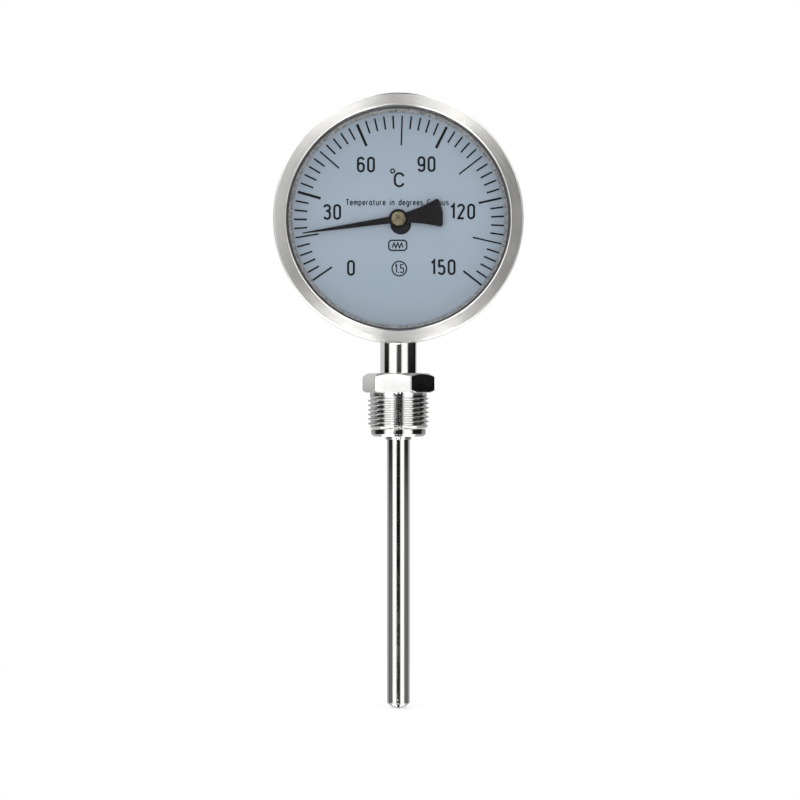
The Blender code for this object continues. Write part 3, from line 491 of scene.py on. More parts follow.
def make_dial():
    """The disc, with its hole low and to the right of the spindle."""
    mesh = bmesh.new()
    edge = DIAL_FRONT_Y + 0.12
    # Each point is (share of the way from the hole's edge to the rim, distance outward from there, y).
    profile = [(0.0, 0.0, DIAL_BACK_Y - 0.05), (0.0, 0.0, edge), (0.0, 0.035, DIAL_FRONT_Y + 0.035),
               (0.0, 0.12, DIAL_FRONT_Y), (1.0, -0.1, DIAL_FRONT_Y), (1.0, -0.03, DIAL_FRONT_Y + 0.03),
               (1.0, 0.0, DIAL_FRONT_Y + 0.1), (1.0, 0.0, DIAL_BACK_Y - 0.05), (1.0, -0.05, DIAL_BACK_Y),
               (0.0, 0.05, DIAL_BACK_Y)]
    rows = []
    for j in range(SEGMENTS_LARGE):
        angle = 2 * math.pi * j / SEGMENTS_LARGE
        row = []
        for share, outward, y in profile:
            radius = DIAL_HOLE_R * (1 - share) + DIAL_R * share + outward
            x = DIAL_HOLE_X * (1 - share) + radius * math.sin(angle)
            z = DIAL_HOLE_Z * (1 - share) + radius * math.cos(angle)
            row.append(mesh.verts.new((x, y, DIAL_Z + z)))
        rows.append(row)
    for near, far in zip(rows, rows[1:] + rows[:1]):
        for i in range(len(profile)):
            k = (i + 1) % len(profile)
            mesh.faces.new((near[i], near[k], far[k], far[i]))
    finish_mesh("dial", mesh, PAINT, "root", ["dial_plate"])


def make_case():
    corner, wall = CASE_CORNER_R, CASE_WALL
    lathe("case", [
        (CASE_RIM_R, CASE_FRONT_Y, 0.2),
        (CASE_RIM_R, CASE_LEDGE_Y + CASE_STEP_FRONT, 0.8),
        (CASE_DRUM_R, CASE_LEDGE_Y + CASE_STEP_REAR, 0.5),
        (CASE_DRUM_R, CASE_BACK_Y, corner),
        (0.0, CASE_BACK_Y, 0),
        (0.0, CASE_BACK_Y - wall, 0),
        (CASE_DRUM_R - wall, CASE_BACK_Y - wall, corner - wall),
        (CASE_DRUM_R - wall, CASE_LEDGE_Y, 0.3),
        (CASE_RIM_R - wall, CASE_LEDGE_Y, 0.2),
        (CASE_RIM_R - wall, CASE_FRONT_Y, 0.2),
    ], CASE, replaced=["case_shell"], slot="case_steel", **ROUND_THE_DIAL)


# ---------------------------------------------------------------- print on the dial

PRINT_T, PRINT_SINK = 0.04, 0.02
PRINT_X, PRINT_Z = 0.3, -0.7  # where the print's own centre lies from the spindle
NUMERAL_H, NUMERAL_W, NUMERAL_STROKE, NUMERAL_GAP = 6.85, 3.45, 0.95, 0.95
ONE_WIDTH = 0.46  # of another digit's width
NUMERALS = (  # (text, x and z of its middle)
    ("0", -20.9, -20.5), ("30", -29.1, 3.8), ("60", -14.4, 24.4), ("90", 11.9, 24.6), ("120", 27.6, 4.0),
    ("150", 19.1, -20.2))
UNIT_W, UNIT_H, UNIT_X, UNIT_Z = 4.8, 6.6, 0.1, 17.8
DEGREE_X, DEGREE_Z, DEGREE_R, DEGREE_STROKE = -2.8, 21.6, 0.85, 0.6
LEGEND_LEFT_X, LEGEND_RIGHT_X, LEGEND_Z, LEGEND_H, LEGEND_STROKE = -23.0, 21.4, 6.8, 2.45, 0.42
LETTER_GAP, WORD_SPACE = 0.17, 0.30  # as shares of the cap height
SYMBOL_X, SYMBOL_Z, SYMBOL_HALF_W, SYMBOL_HALF_H, SYMBOL_CORNER_R = -0.6, -10.7, 3.9, 2.2, 1.4
SYMBOL_STROKE, COIL_STROKE, COIL_HUMPS, COIL_HUMP_W, COIL_HUMP_H = 0.62, 0.5, 7, 0.8, 1.0
CLASS_X, CLASS_Z, CLASS_R, CLASS_STROKE = 0.1, -20.8, 3.15, 0.56
CLASS_TEXT_H, CLASS_TEXT_W, CLASS_TEXT_STROKE, CLASS_TEXT_GAP = 4.0, 1.95, 0.5, 0.3


def curve(cx, cy, rx, ry, start_deg, end_deg, steps=None):
    """Points along an elliptical arc."""
    steps = steps or max(4, round(abs(end_deg - start_deg) / 10))
    points = []
    for i in range(steps + 1):
        angle = math.radians(start_deg + (end_deg - start_deg) * i / steps)
        points.append((cx + rx * math.cos(angle), cy + ry * math.sin(angle)))
    return points


def circle(cx, cz, radius, steps):
    return curve(cx, cz, radius, radius, 0, 360, steps)


def glyph(char, w, h):
    """A character's strokes as (points, closed), in a box w by h measured between stroke centres."""
    r = w / 2
    bowl = 0.60 * h
    if char == "0":
        return [(curve(r, h - r, r, r, 0, 180) + curve(r, r, r, r, 180, 360), True)]
    if char == "1":
        return [([(0.0, h * 0.80), (w * ONE_WIDTH, h), (w * ONE_WIDTH, 0)], False)]
    if char == "2":
        top = curve(r, h - r, r, r, 172, -32)
        return [(top + [(0.03 * w, 0.0), (w, 0.0)], False)]
    if char == "3":
        waist = h - 2 * r
        upper = curve(r, h - r, r, r, 165, -90) + [(0.35 * w, waist)]
        lower = [(0.32 * w, waist)] + curve(r, waist - r, r, r, 90, 0) + curve(r, r, r, r, 0, -165)
        return [(upper, False), (lower, False)]
    if char == "5":
        arm = curve(r, bowl - r, r, r, 150, 0) + curve(r, r, r, r, 0, -162)
        return [([(0.92 * w, h), (0.10 * w, h)] + [arm[0]], False), (arm, False)]
    if char == "6":
        ring = curve(r, bowl - r, r, r, 0, 180) + curve(r, r, r, r, 180, 360)
        return [(ring, True), ([(0.0, r)] + curve(r, h - r, r, r, 180, 14), False)]
    if char == "9":
        return [([(w - x, h - y) for x, y in points], closed) for points, closed in glyph("6", w, h)]
    if char == "C":
        return [(curve(r, h - r, r, r, 18, 180) + curve(r, r, r, r, 180, 342), False)]
    raise ValueError(char)


LETTERS = {  # in a box of cap height 1: advance width, then strokes as (points, closed)
    "T": (0.46, [([(0, 1), (0.46, 1)], False), ([(0.23, 1), (0.23, 0)], False)]),
    "C": (0.46, [(curve(0.24, 0.5, 0.24, 0.5, 50, 310), False)]),
    "e": (0.38, [([(0.02, 0.35), (0.38, 0.35)] + curve(0.19, 0.34, 0.19, 0.34, 8, 325), False)]),
    "m": (0.58, [([(0, 0), (0, 0.68)], False),
                 (curve(0.145, 0.5, 0.145, 0.18, 180, 0) + [(0.29, 0)], False),
                 (curve(0.435, 0.5, 0.145, 0.18, 180, 0) + [(0.58, 0)], False)]),
    "p": (0.38, [([(0, 0.68), (0, -0.28)], False), (curve(0.19, 0.34, 0.19, 0.34, 0, 360), True)]),
    "r": (0.24, [([(0, 0), (0, 0.68)], False), (curve(0.18, 0.46, 0.18, 0.22, 180, 70), False)]),
    "a": (0.38, [([(0.38, 0.68), (0.38, 0)], False), (curve(0.19, 0.34, 0.19, 0.34, 0, 360), True)]),
    "t": (0.26, [([(0.10, 0.95), (0.10, 0.1), (0.26, 0.0)], False), ([(0, 0.68), (0.26, 0.68)], False)]),
    "u": (0.38, [([(0, 0.68)] + curve(0.19, 0.19, 0.19, 0.19, 180, 360), False),
                 ([(0.38, 0.68), (0.38, 0)], False)]),
    "i": (0.06, [([(0.03, 0), (0.03, 0.66)], False), ([(0.03, 0.86), (0.03, 0.98)], False)]),
    "n": (0.36, [([(0, 0), (0, 0.68)], False),
                 (curve(0.18, 0.48, 0.18, 0.20, 180, 0) + [(0.36, 0)], False)]),
    "d": (0.38, [([(0.38, 1), (0.38, 0)], False), (curve(0.19, 0.34, 0.19, 0.34, 0, 360), True)]),
    "g": (0.38, [([(0.38, 0.68)] + curve(0.19, -0.10, 0.19, 0.18, 0, -150), False),
                 (curve(0.19, 0.34, 0.19, 0.34, 0, 360), True)]),
    "s": (0.32, [(curve(0.16, 0.50, 0.15, 0.18, 40, 265)
                  + curve(0.16, 0.16, 0.16, 0.17, 85, -145), False)]),
    "l": (0.06, [([(0.03, 1), (0.03, 0)], False)]),
}


LEAST_STEP, LEAST_LEAN = 0.01, 0.35  # points nearer than this are dropped; limits a sharp bend's width


def stroke(mesh, points, width, closed=False):
    """Adds a flat slab along a line on the dial. points are (x, z) from the dial's centre."""
    clean = [points[0]]
    for p in points[1:]:
        if math.dist(p, clean[-1]) > LEAST_STEP:
            clean.append(p)
    if closed and math.dist(clean[0], clean[-1]) < LEAST_STEP:
        clean.pop()
    count = len(clean)
    left, right = [], []
    for i in range(count):
        here = Vector(clean[i])
        before = Vector(clean[i - 1]) if closed or i > 0 else None
        after = Vector(clean[(i + 1) % count]) if closed or i < count - 1 else None
        into = (here - before).normalized() if before is not None else None
        out = (after - here).normalized() if after is not None else None
        along = ((into or out) + (out or into)).normalized()
        side = Vector((-along.y, along.x))
        lean = max(LEAST_LEAN, abs(along.dot(into or out)))
        left.append(here + side * (width / 2 / lean))
        right.append(here - side * (width / 2 / lean))
    low_y, high_y = DIAL_FRONT_Y - PRINT_T, DIAL_FRONT_Y + PRINT_SINK
    rows = [[mesh.verts.new((PRINT_X + p.x, y, DIAL_Z + PRINT_Z + p.y))
             for p in (left[i], right[i]) for y in (low_y, high_y)]
            for i in range(count)]
    order = (0, 1, 3, 2)
    last = count if closed else count - 1
    for i in range(last):
        near, far = rows[i], rows[(i + 1) % count]
        for j in range(4):
            a, b = order[j], order[(j + 1) % 4]
            mesh.faces.new((near[a], near[b], far[b], far[a]))
    if not closed:
        for row in (rows[0], rows[-1]):
            mesh.faces.new([row[k] for k in order])


def write_numeral(mesh, text, centre_x, centre_z, height=NUMERAL_H, width=NUMERAL_W,
                  line=NUMERAL_STROKE, gap=NUMERAL_GAP):
    """Writes digits centred on a point of the dial."""
    w, h = width - line, height - line
    widths = [w * ONE_WIDTH if c == "1" else (0.0 if c == "." else w) for c in text]
    total = sum(widths) + (gap + line) * (len(text) - 1)
    x = centre_x - total / 2
    for char, wide in zip(text, widths):
        low = centre_z - h / 2
        if char == ".":
            stroke(mesh, [(x, low - line / 2), (x, low + line / 2)], line)
        else:
            for points, closed in glyph(char, w, h):
                stroke(mesh, [(x + a, low + b) for a, b in points], line, closed)
        x += wide + gap + line


def write_line(mesh, text, left_x, right_x, base_z, cap_h, line):
    """Writes a line of small letters that fills the space from left_x to right_x."""
    letter_gap = LETTER_GAP * cap_h
    widths = [WORD_SPACE * cap_h if c == " " else LETTERS[c][0] * cap_h for c in text]
    natural = sum(widths) + letter_gap * (len(text) - 1)
    letter_gap += (right_x - left_x - natural) / (len(text) - 1)
    x = left_x
    for char, wide in zip(text, widths):
        if char != " ":
            for points, closed in LETTERS[char][1]:
                stroke(mesh, [(x + a * cap_h, base_z + b * cap_h) for a, b in points], line, closed)
        x += wide + letter_gap


def scale_angle(celsius):
    return SCALE_START_DEG + DEG_PER_DEGREE_C * celsius


def make_scale():
    """The divisions: one every 3 degrees, a long one every 15, and bolder ones at the numbers."""
    mesh = bmesh.new()
    for celsius in range(0, SCALE_END_C + 1, DIVISION_C):
        angle = math.radians(scale_angle(celsius))
        is_long = celsius % LONG_TICK_C == 0
        inner = TICK_INNERS.get(celsius, TICK_LONG_IN_R) if is_long else TICK_SHORT_IN_R
        width = TICK_WIDTHS.get(celsius, TICK_WIDTH if is_long else TICK_SHORT_WIDTH)
        ends = [(r * math.sin(angle), r * math.cos(angle)) for r in (inner, TICK_OUT_R)]
        stroke(mesh, ends, width)
    finish_mesh("scale_marks", mesh, INK, "root")


def make_numerals():
    mesh = bmesh.new()
    for text, x, z in NUMERALS:
        write_numeral(mesh, text, x, z)
    finish_mesh("scale_numerals", mesh, INK, "root")


def make_legend():
    """The unit, a plain legend, a coil symbol in a frame and the accuracy class in a circle."""
    mesh = bmesh.new()
    unit_w, unit_h = UNIT_W - NUMERAL_STROKE, UNIT_H - NUMERAL_STROKE
    for points, closed in glyph("C", unit_w, unit_h):
        line = [(a - unit_w / 2 + UNIT_X, b + UNIT_Z - unit_h / 2) for a, b in points]
        stroke(mesh, line, NUMERAL_STROKE, closed)
    stroke(mesh, circle(DEGREE_X, DEGREE_Z, DEGREE_R, 32), DEGREE_STROKE, True)
    finish_mesh("scale_unit", mesh, INK, "root")

    mesh = bmesh.new()
    write_line(mesh, "Temperature in degrees Celsius", LEGEND_LEFT_X, LEGEND_RIGHT_X, LEGEND_Z, LEGEND_H,
               LEGEND_STROKE)
    finish_mesh("dial_legend", mesh, INK, "root")

    mesh = bmesh.new()
    corners = [(side * SYMBOL_HALF_W, end * SYMBOL_HALF_H, SYMBOL_CORNER_R)
               for side, end in ((1, 1), (-1, 1), (-1, -1), (1, -1))]
    stroke(mesh, [(SYMBOL_X + x, SYMBOL_Z + z) for x, z in rounded(corners)], SYMBOL_STROKE, True)
    humps = [((i - COIL_HUMPS // 2) * COIL_HUMP_W, COIL_HUMP_H if i % 2 else -COIL_HUMP_H)
             for i in range(COIL_HUMPS)]
    stroke(mesh, [(SYMBOL_X + x, SYMBOL_Z + z) for x, z in humps], COIL_STROKE)
    finish_mesh("coil_symbol", mesh, INK, "root")

    mesh = bmesh.new()
    stroke(mesh, circle(CLASS_X, CLASS_Z, CLASS_R, 64), CLASS_STROKE, True)
    write_numeral(mesh, "1.5", CLASS_X, CLASS_Z, CLASS_TEXT_H, CLASS_TEXT_W, CLASS_TEXT_STROKE,
                  CLASS_TEXT_GAP)
    finish_mesh("class_mark", mesh, INK, "root")


# ---------------------------------------------------------------- pointer

def make_pointer():
    """The black stamping with softened edges, at its rest reading, and its brass hub."""
    arm_deg = math.degrees(math.asin(POINTER_WIDTH / 2 / POINTER_BOSS_R))
    tail_deg = math.degrees(math.asin(TAIL_ROOT_W / 2 / POINTER_BOSS_R))
    boss = curve(0, 0, POINTER_BOSS_R, POINTER_BOSS_R, 90 - arm_deg, -90 + tail_deg, 16)
    end_z, side_x = -TAIL_LENGTH, TAIL_WIDTH / 2
    root_x, root_z = boss[-1]
    tail = []
    for i in range(1, TAIL_STEPS):  # the tail's sides are slightly hollow
        share = i / TAIL_STEPS
        sag = TAIL_HOLLOW * math.sin(math.pi * share)
        tail.append((root_x + (side_x - root_x) * share - sag,
                     root_z + (end_z + TAIL_SIDE_RISE - root_z) * share))
    corner = curve(side_x - TAIL_CORNER_R, end_z + TAIL_CORNER_R + TAIL_CORNER_RISE, TAIL_CORNER_R,
                   TAIL_CORNER_R, 20, -80, 8)
    half = boss + tail + corner
    tip = [(-POINTER_TIP_W / 2 * POINTER_END_SHARE, POINTER_LENGTH),
           (POINTER_TIP_W / 2 * POINTER_END_SHARE, POINTER_LENGTH)]
    shoulder = [(POINTER_TIP_W / 2, POINTER_LENGTH - POINTER_END_LENGTH)]
    outline = tip + shoulder + half + [(0.0, end_z)]
    outline += [(-x, z) for x, z in reversed(shoulder + half)]
    angle = -math.radians(scale_angle(REST_READING_C))
    mesh = bmesh.new()
    front = []
    for x, z in outline:
        front.append(mesh.verts.new((x * math.cos(angle) - z * math.sin(angle), POINTER_FRONT_Y,
                                     DIAL_Z + x * math.sin(angle) + z * math.cos(angle))))
    face = mesh.faces.new(front)
    raised = bmesh.ops.extrude_face_region(mesh, geom=[face])
    back = [v for v in raised["geom"] if isinstance(v, bmesh.types.BMVert)]
    bmesh.ops.translate(mesh, verts=back, vec=(0, POINTER_BACK_Y - POINTER_FRONT_Y, 0))
    bmesh.ops.recalc_face_normals(mesh, faces=mesh.faces)
    rims = [e for e in mesh.edges if abs(e.verts[0].co.y - e.verts[1].co.y) < 0.01]
    bmesh.ops.bevel(mesh, geom=rims, offset=POINTER_EDGE_R, segments=2, profile=0.6, affect="EDGES",
                    clamp_overlap=True)
    finish_mesh("pointer_blade", mesh, BLACK, "pointer_spindle", ["pointer"])
    shoulder_y = POINTER_FRONT_Y - HUB_GAP
    lathe("hub", [
        (HUB_BORE_R, HUB_FRONT_Y, 0.1),
        (HUB_R, HUB_FRONT_Y, 0.35),
        (HUB_R, shoulder_y, 0.1),
        (HUB_TUBE_R, shoulder_y, 0.0),
        (HUB_TUBE_R, HUB_BACK_Y, 0.15),
        (HUB_BORE_R, HUB_BACK_Y, 0.1),
    ], BRASS_HUB, "pointer_spindle", ["pointer_hub"], "brass", axis="Y", centre_z=DIAL_Z, segments=96)


# ---------------------------------------------------------------- neck, nut, collar and stem

BRIGHT = {"material": POLISHED, "slot": "bright_steel", "segments": SEGMENTS_MEDIUM}


def make_tubes():
    lathe("neck", [
        (NECK_BORE_R, NECK_BOTTOM_Z, 0.2),
        (NECK_R, NECK_BOTTOM_Z, 0.25),
        (NECK_R, NECK_TOP_Z, 0.3),
        (NECK_BORE_R, NECK_TOP_Z, 0.2),
    ], replaced=["neck_tube"], **BRIGHT)
    lathe("seat_collar", [
        (COLLAR_BORE_R, COLLAR_BOTTOM_Z + COLLAR_BORE_CHAMFER, 0.0),
        (COLLAR_BORE_R + COLLAR_BORE_CHAMFER, COLLAR_BOTTOM_Z, 0.08),
        (COLLAR_HUB_R, COLLAR_BOTTOM_Z, 0.1),
        (COLLAR_HUB_R, 0.0, 0.15),
        (COLLAR_R - COLLAR_CHAMFER, 0.0, 0.12),
        (COLLAR_R, COLLAR_CHAMFER_H, 0.12),
        (COLLAR_R, COLLAR_TOP_Z, 0.3),
        (COLLAR_BORE_R, COLLAR_TOP_Z, 0.1),
    ], replaced=["collar"], **BRIGHT)
    lathe("stem", [
        (STEM_BORE_R, STEM_BOTTOM_Z - STEM_EXTENSION, 0.1),
        (STEM_R, STEM_BOTTOM_Z - STEM_EXTENSION, 0.03),
        (STEM_R, STEM_TOP_Z, 0.3),
        (STEM_BORE_R, STEM_TOP_Z, 0.2),
    ], replaced=["stem_tube"], **BRIGHT)
    top = STEM_BOTTOM_Z - TIP_GAP
    sag = top - TIP_LAND - TIP_BOTTOM_Z
    ball = (STEM_R ** 2 + sag ** 2) / (2 * sag)
    reach = math.degrees(math.asin(STEM_R / ball))
    dome = [(ball * math.sin(math.radians(d)), TIP_BOTTOM_Z + ball * (1 - math.cos(math.radians(d))), 0)
            for d in (reach * k / TIP_DOME_STEPS for k in range(1, TIP_DOME_STEPS))]
    lathe("tip", [(0.0, TIP_BOTTOM_Z, 0)] + dome + [
        (STEM_R, top - TIP_LAND, 0.08),
        (STEM_R, top, 0.03),
        (TIP_SPIGOT_R, top, 0.0),
        (TIP_SPIGOT_R, TIP_TOP_Z, 0.1),
        (0.0, TIP_TOP_Z, 0),
    ], replaced=["stem_tip"], **BRIGHT)
    lathe("slip_washer", [
        (SLIP_BORE_R, SLIP_BOTTOM_Z, 0.08),
        (SLIP_R, SLIP_BOTTOM_Z, 0.12),
        (SLIP_R, SLIP_TOP_Z, 0.12),
        (SLIP_BORE_R, SLIP_TOP_Z, 0.08),
    ], BRASS_Z, "nut_slip_ring", ["slip_ring"], "brass")


def nut_angles():
    """Angles round the nut from one of its corners, closer together at the corners."""
    steps = {round(2.0 * i, 3) for i in range(180)}
    for corner in range(0, 360, 60):
        steps |= {round((corner + d) % 360, 3) for d in NUT_CORNER_STEPS}
    return sorted(steps)


def hex_radius(degrees):
    """The hexagon's radius at an angle from one of its corners, which are rounded."""
    off_corner = (degrees + 30.0) % 60.0 - 30.0
    centre = (NUT_HEX_FLAT_R - NUT_CORNER_R) / math.cos(math.radians(30))
    side_x = centre + NUT_CORNER_R * math.cos(math.radians(30))
    edge = math.degrees(math.atan2(NUT_CORNER_R * 0.5, side_x))
    if abs(off_corner) < edge:
        off = math.radians(off_corner)
        return centre * math.cos(off) + math.sqrt(NUT_CORNER_R ** 2 - (centre * math.sin(off)) ** 2)
    return NUT_HEX_FLAT_R / math.cos(math.radians(30 - abs(off_corner)))


def thread_profile():
    """A thread with flat root and crest over one pitch, as (phase, share of the depth)."""
    flank = 0.5 - THREAD_LAND
    up = [(THREAD_LAND / 2 + flank * k / THREAD_FLANK_STEPS, k / THREAD_FLANK_STEPS)
          for k in range(THREAD_FLANK_STEPS + 1)]
    down = [(1.0 - phase, share) for phase, share in reversed(up)]
    return [(0.0, 0.0)] + up + down + [(1.0, 0.0)]


THREAD_PROFILE = thread_profile()


def thread_radius(z, turns_round):
    """The thread's radius at a height, after so many turns round, chamfered at both ends."""
    phase = ((z - NUT_BOTTOM_Z) / THREAD_PITCH - turns_round) % 1.0
    for (p0, s0), (p1, s1) in zip(THREAD_PROFILE, THREAD_PROFILE[1:]):
        if phase <= p1:
            share = s0 + (s1 - s0) * (phase - p0) / (p1 - p0)
            break
    radius = THREAD_ROOT_R + (THREAD_CREST_R - THREAD_ROOT_R) * share
    radius = min(radius, THREAD_ROOT_R - THREAD_END_CUT + (z - NUT_BOTTOM_Z))
    return min(radius, RELIEF_R + (THREAD_TOP_Z - z))


def make_nut():
    """Helical thread, relief, hexagon with a chamfered top, bore and a seat for the slip ring."""
    mesh = bmesh.new()
    angles = nut_angles()
    count = len(angles)
    turn = math.radians(NUT_TURN_DEG)

    def vertex(radius, degrees, z):
        a = math.radians(degrees) + turn
        return mesh.verts.new((radius * math.cos(a), radius * math.sin(a), z))

    def ring(radius, z):
        row = []
        for d in angles:
            r = radius(d) if callable(radius) else radius
            row.append(vertex(r, d, z(d) if callable(z) else z))
        return row

    slope = math.tan(math.radians(NUT_CHAMFER_DEG))

    def inset(d):
        return hex_radius(d) - NUT_EDGE

    def upper_z(radius):
        return NUT_TOP_Z - (radius - NUT_CHAMFER_R) * slope

    def lower_z(radius):
        return NUT_HEX_Z + max(0.0, radius - NUT_LOWER_CHAMFER_R) * slope

    seat_roof = NUT_BOTTOM_Z + NUT_SEAT_DEPTH
    # The bare numbers here are small chamfers and softened edges.
    rings = [
        ring(lambda d: thread_radius(THREAD_TOP_Z, d / 360.0), THREAD_TOP_Z),
        ring(RELIEF_R, THREAD_TOP_Z),
        ring(RELIEF_R, NUT_HEX_Z - RELIEF_FILLET_R),
        ring(RELIEF_R + RELIEF_FILLET_MID, NUT_HEX_Z - RELIEF_FILLET_MID),
        ring(RELIEF_R + RELIEF_FILLET_R, NUT_HEX_Z),
        ring(lambda d: min(hex_radius(d) - 0.2, NUT_LOWER_CHAMFER_R - 0.1), NUT_HEX_Z),
        ring(inset, lambda d: lower_z(inset(d)) + 0.08),
        ring(hex_radius, lambda d: lower_z(hex_radius(d)) + 0.17),
        ring(hex_radius, lambda d: upper_z(hex_radius(d)) - 0.06),
        ring(inset, lambda d: upper_z(inset(d))),
        ring(NUT_CHAMFER_R + NUT_EDGE, upper_z(NUT_CHAMFER_R + NUT_EDGE)),
        ring(NUT_CHAMFER_R - 0.1, NUT_TOP_Z),
        ring(NUT_BORE_R + 0.5, NUT_TOP_Z),
        ring(NUT_BORE_R + 0.4, NUT_TOP_Z - 0.06),
        ring(NUT_BORE_R, NUT_TOP_Z - 0.45),
        ring(NUT_BORE_R, seat_roof),
        ring(NUT_SEAT_R, seat_roof),
        ring(NUT_SEAT_R, NUT_BOTTOM_Z + 0.1),
        ring(NUT_SEAT_R + 0.1, NUT_BOTTOM_Z),
        ring(lambda d: thread_radius(NUT_BOTTOM_Z, d / 360.0), NUT_BOTTOM_Z),
    ]
    for low, high in zip(rings, rings[1:]):
        for j in range(count):
            k = (j + 1) % count
            mesh.faces.new((low[j], low[k], high[k], high[j]))
    # The helical strip runs past both ends and is held at the end planes, where its points merge.
    turns = int((THREAD_TOP_Z - NUT_BOTTOM_Z) / THREAD_PITCH) + 2
    phases = [p for p, _ in THREAD_PROFILE[:-1]]
    steps = [(turn_no, d) for turn_no in range(-1, turns) for d in angles] + [(turns, 0.0)]
    strip = []
    for turn_no, degrees in steps:
        turned = turn_no + degrees / 360.0
        row = []
        for phase in phases:
            z = min(max(NUT_BOTTOM_Z + THREAD_PITCH * (phase + turned), NUT_BOTTOM_Z), THREAD_TOP_Z)
            row.append(vertex(thread_radius(z, turned), degrees, z))
        strip.append(row)
    for n in range(len(strip) - 1):
        near, far = strip[n], strip[n + 1]
        for m in range(len(phases) - 1):
            mesh.faces.new((near[m], far[m], far[m + 1], near[m + 1]))
        if n + 1 + count < len(strip):
            above_near, above_far = strip[n + count], strip[n + 1 + count]
            mesh.faces.new((near[-1], far[-1], above_far[0], above_near[0]))
    finish_mesh("nut", mesh, NUT_METAL, "union_nut", ["union_nut"], sharp_deg=28.0)


# ---------------------------------------------------------------- CAD nodes that stay

KEPT = {
    "window_gasket": RUBBER, "spindle": BRASS_HUB, "spindle_clip": INNER_Y, "spindle_gear": BRASS_Y,
    # The movement frame carries painted shade: near black, standing in for the dark inside the case seen
    # through the dial's hole.
    "spindle_front_bush": BRASS_Y, "spindle_rear_bush": BRASS_Y, "movement_frame": SHADE_BLACK_STEEL,
    "frame_screw_left": INNER_Z, "frame_screw_right": INNER_Z, "neck_head": CASE,
    "shaft_upper_bush": BRASS_Z, "shaft_lower_bush": BRASS_Z, "stem_shaft": INNER_Z,
    "shaft_gear": BRASS_Z, "coil_top_hub": BRASS_Z, "bimetal_coil": STRIP, "coil_anchor": BRASS_Z,
}


def dress_kept_nodes():
    for name, material in KEPT.items():
        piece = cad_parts[name]
        for slot in piece.material_slots:
            slot.material = material


# ---------------------------------------------------------------- studio

FLOOR_Z = (TIP_BOTTOM_Z - 0.2) * MM
FLOOR_R, FADE_START, FADE_END, FADE_LEAST = 12.0, 0.02, 0.25, 0.5  # in metres, but for the last


def make_floor():
    """A pale floor that fades into the white surroundings."""
    mesh = bmesh.new()
    bmesh.ops.create_circle(mesh, cap_ends=True, segments=96, radius=FLOOR_R)
    data = bpy.data.meshes.new("floor")
    mesh.to_mesh(data)
    mesh.free()
    floor = bpy.data.objects.new("floor", data)
    floor.location = (0, 0, FLOOR_Z)
    bpy.context.scene.collection.objects.link(floor)
    made = bpy.data.materials.new("floor_pale")
    made.use_nodes = True
    tree = made.node_tree
    tree.nodes.clear()
    where = place(tree)
    far = node(tree, "ShaderNodeVectorMath", {0: where}, operation="LENGTH").outputs["Value"]
    fade = ramp(tree, far, FADE_START, FADE_END, FADE_LEAST, 1.0, "SMOOTHSTEP")
    diffuse = node(tree, "ShaderNodeBsdfDiffuse", {"Color": (0.96, 0.96, 0.96, 1.0)})
    glow = node(tree, "ShaderNodeEmission", {"Color": (1.0, 1.0, 1.0, 1.0), "Strength": 1.0})
    both = node(tree, "ShaderNodeMixShader", {0: fade, 1: diffuse.outputs[0], 2: glow.outputs[0]})
    out = node(tree, "ShaderNodeOutputMaterial")
    tree.links.new(both.outputs[0], out.inputs["Surface"])
    data.materials.append(made)
    floor.visible_glossy = False
    floor.visible_shadow = False


# Soft boxes as seen from the object: side, azimuth from and to, elevation from and to, how soft their
# ends are in azimuth and in elevation, and strength. Azimuth is 0 towards the camera and grows towards
# either side. Angles are in degrees.
SOFT_BOXES = (
    ("both", 20, 60, -12, 12, 7, 2, 1.3),
    ("both", 20, 57, 12, 75, 4, 2, 2.4),
    ("both", 20, 57, -75, -12, 4, 2, 2.4),
    ("left", 100, 190, 0.1, 75, 4, 0.6, 0.72),
    ("left", 118, 190, -75, -0.5, 10, 0.8, 0.5),
    ("right", 140, 190, 0.1, 75, 6, 0.6, 0.6),
    ("right", 118, 190, -75, -0.5, 10, 0.8, 0.46),
    ("both", 120, 190, 50, 75, 10, 3, 1.2),
    ("both", 22, 150, 58, 82, 6, 4, 1.7),
    ("both", 88, 190, -88, -50, 6, 3, 1.1),
    ("left", 60, 113, 24, 62, 5, 5, 0.9),
    ("right", 60, 113, 24, 62, 5, 5, 0.5),
    ("left", 60, 113, -62, -24, 5, 5, 0.9),
    ("right", 60, 113, -62, -24, 5, 5, 0.5),
    ("both", 60, 113, -20, -2, 8, 1.5, 0.16),
    ("both", 60, 113, 1, 6, 3, 0.3, 0.03),
)
# These are not cut by the gap.
SMALL_BOXES = (
    ("both", -5, 190, -95, -84, 5, 3, 0.8),
    ("both", 150, 190, 50, 72, 8, 4, 0.12),
    ("both", -5, 15, 0.6, 2.5, 3, 0.3, 0.07),
    ("left", 10, 30, -0.3, 2.3, 3, 0.4, 0.9),
    ("right", 2, 9, 10.5, 24, 1.5, 1.5, 3.7),
    ("left", 3, 10, 10.5, 24, 1.5, 1.5, 4.6),
    ("right", 3, 10, -18, -9.3, 1.5, 1, 19.0),
    ("left", 4, 14, -18, -9.3, 1.5, 1, 25.0),
    ("left", 3.4, 16, 2.2, 10, 0.8, 1, 1.2),
)
DARK = 0.003
# The gap is a dark strip up the middle of the studio, where |x| < slope * (1 - y). The middle column of
# every surface turned round the stem's axis mirrors it, so that column stays dark.
GAP_SLOPE, GAP_SOFT = 0.14, 0.03


def band(tree, value, low, high, soft):
    """1 where value lies between low and high and 0 elsewhere, with soft ends."""
    rise = ramp(tree, value, low - soft, low + soft, 0, 1, "SMOOTHSTEP")
    return calc(tree, "MULTIPLY", rise, ramp(tree, value, high - soft, high + soft, 1, 0, "SMOOTHSTEP"))


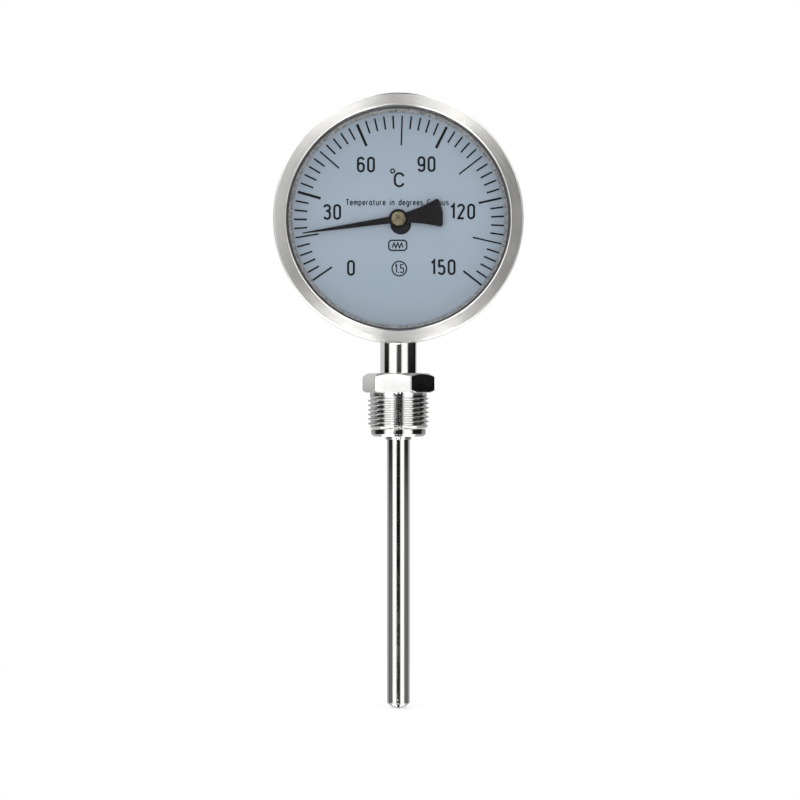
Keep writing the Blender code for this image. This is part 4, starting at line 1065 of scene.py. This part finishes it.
def make_world():
    """White to the camera. Everything else sees a studio of soft boxes with dark gaps between them."""
    world = bpy.data.worlds.new("studio")
    bpy.context.scene.world = world
    world.use_nodes = True
    tree = world.node_tree
    tree.nodes.clear()
    direction = node(tree, "ShaderNodeTexCoord").outputs["Generated"]
    x, y, z = node(tree, "ShaderNodeSeparateXYZ", {0: direction}).outputs
    degrees = 180.0 / math.pi
    azimuth = calc(tree, "MULTIPLY", calc(tree, "ARCTAN2", x, calc(tree, "MULTIPLY", y, -1.0)), degrees)
    elevation = calc(tree, "MULTIPLY", calc(tree, "ARCSINE", z), degrees)
    sides = {"both": calc(tree, "ABSOLUTE", azimuth), "right": azimuth,
             "left": calc(tree, "MULTIPLY", azimuth, -1.0)}
    gap = calc(tree, "SUBTRACT", calc(tree, "ABSOLUTE", x),
               calc(tree, "MULTIPLY", calc(tree, "SUBTRACT", 1.0, y), GAP_SLOPE))
    gap = ramp(tree, gap, -GAP_SOFT, GAP_SOFT, 0, 1, "SMOOTHSTEP")
    total = DARK
    for boxes, cut in ((SOFT_BOXES, gap), (SMALL_BOXES, None)):
        for side, az0, az1, el0, el1, soft_az, soft_el, strength in boxes:
            part = band(tree, sides[side], az0, az1, soft_az)
            part = calc(tree, "MULTIPLY", part,
                        ramp(tree, elevation, el0 - soft_el, el0 + soft_el, 0, 1, "SMOOTHSTEP"))
            part = calc(tree, "MULTIPLY", part,
                        ramp(tree, elevation, el1 - soft_el, el1 + soft_el, 1, 0, "SMOOTHSTEP"))
            if cut is not None:
                part = calc(tree, "MULTIPLY", part, cut)
            total = calc(tree, "ADD", total, calc(tree, "MULTIPLY", part, strength))
    studio = node(tree, "ShaderNodeBackground", {"Color": (1.0, 1.0, 1.0, 1.0), "Strength": total})
    white = node(tree, "ShaderNodeBackground", {"Color": (1.0, 1.0, 1.0, 1.0), "Strength": 1.0})
    seen = node(tree, "ShaderNodeLightPath").outputs["Is Camera Ray"]
    both = node(tree, "ShaderNodeMixShader", {0: seen, 1: studio.outputs[0], 2: white.outputs[0]})
    out = node(tree, "ShaderNodeOutputWorld")
    tree.links.new(both.outputs[0], out.inputs["Surface"])


LENS, SENSOR_WIDTH = 102.2, 36.0
CAMERA_PLACE = (0.0007, -1.0, 0.016)  # in metres


def make_camera():
    """A long lens in front of the object, level with the nut."""
    data = bpy.data.cameras.new("camera")
    data.lens = LENS
    data.sensor_width = SENSOR_WIDTH
    data.clip_start, data.clip_end = 0.05, 50.0
    camera = bpy.data.objects.new("camera", data)
    camera.location = CAMERA_PLACE
    camera.rotation_euler = (math.radians(90), 0, 0)
    bpy.context.scene.collection.objects.link(camera)
    bpy.context.scene.camera = camera


make_camera()
make_bezel()
make_window()
make_spacer()
make_dial()
make_case()
make_scale()
make_numerals()
make_legend()
make_pointer()
make_tubes()
make_nut()
dress_kept_nodes()
make_floor()
make_world()
bpy.context.scene.view_settings.view_transform = "Standard"
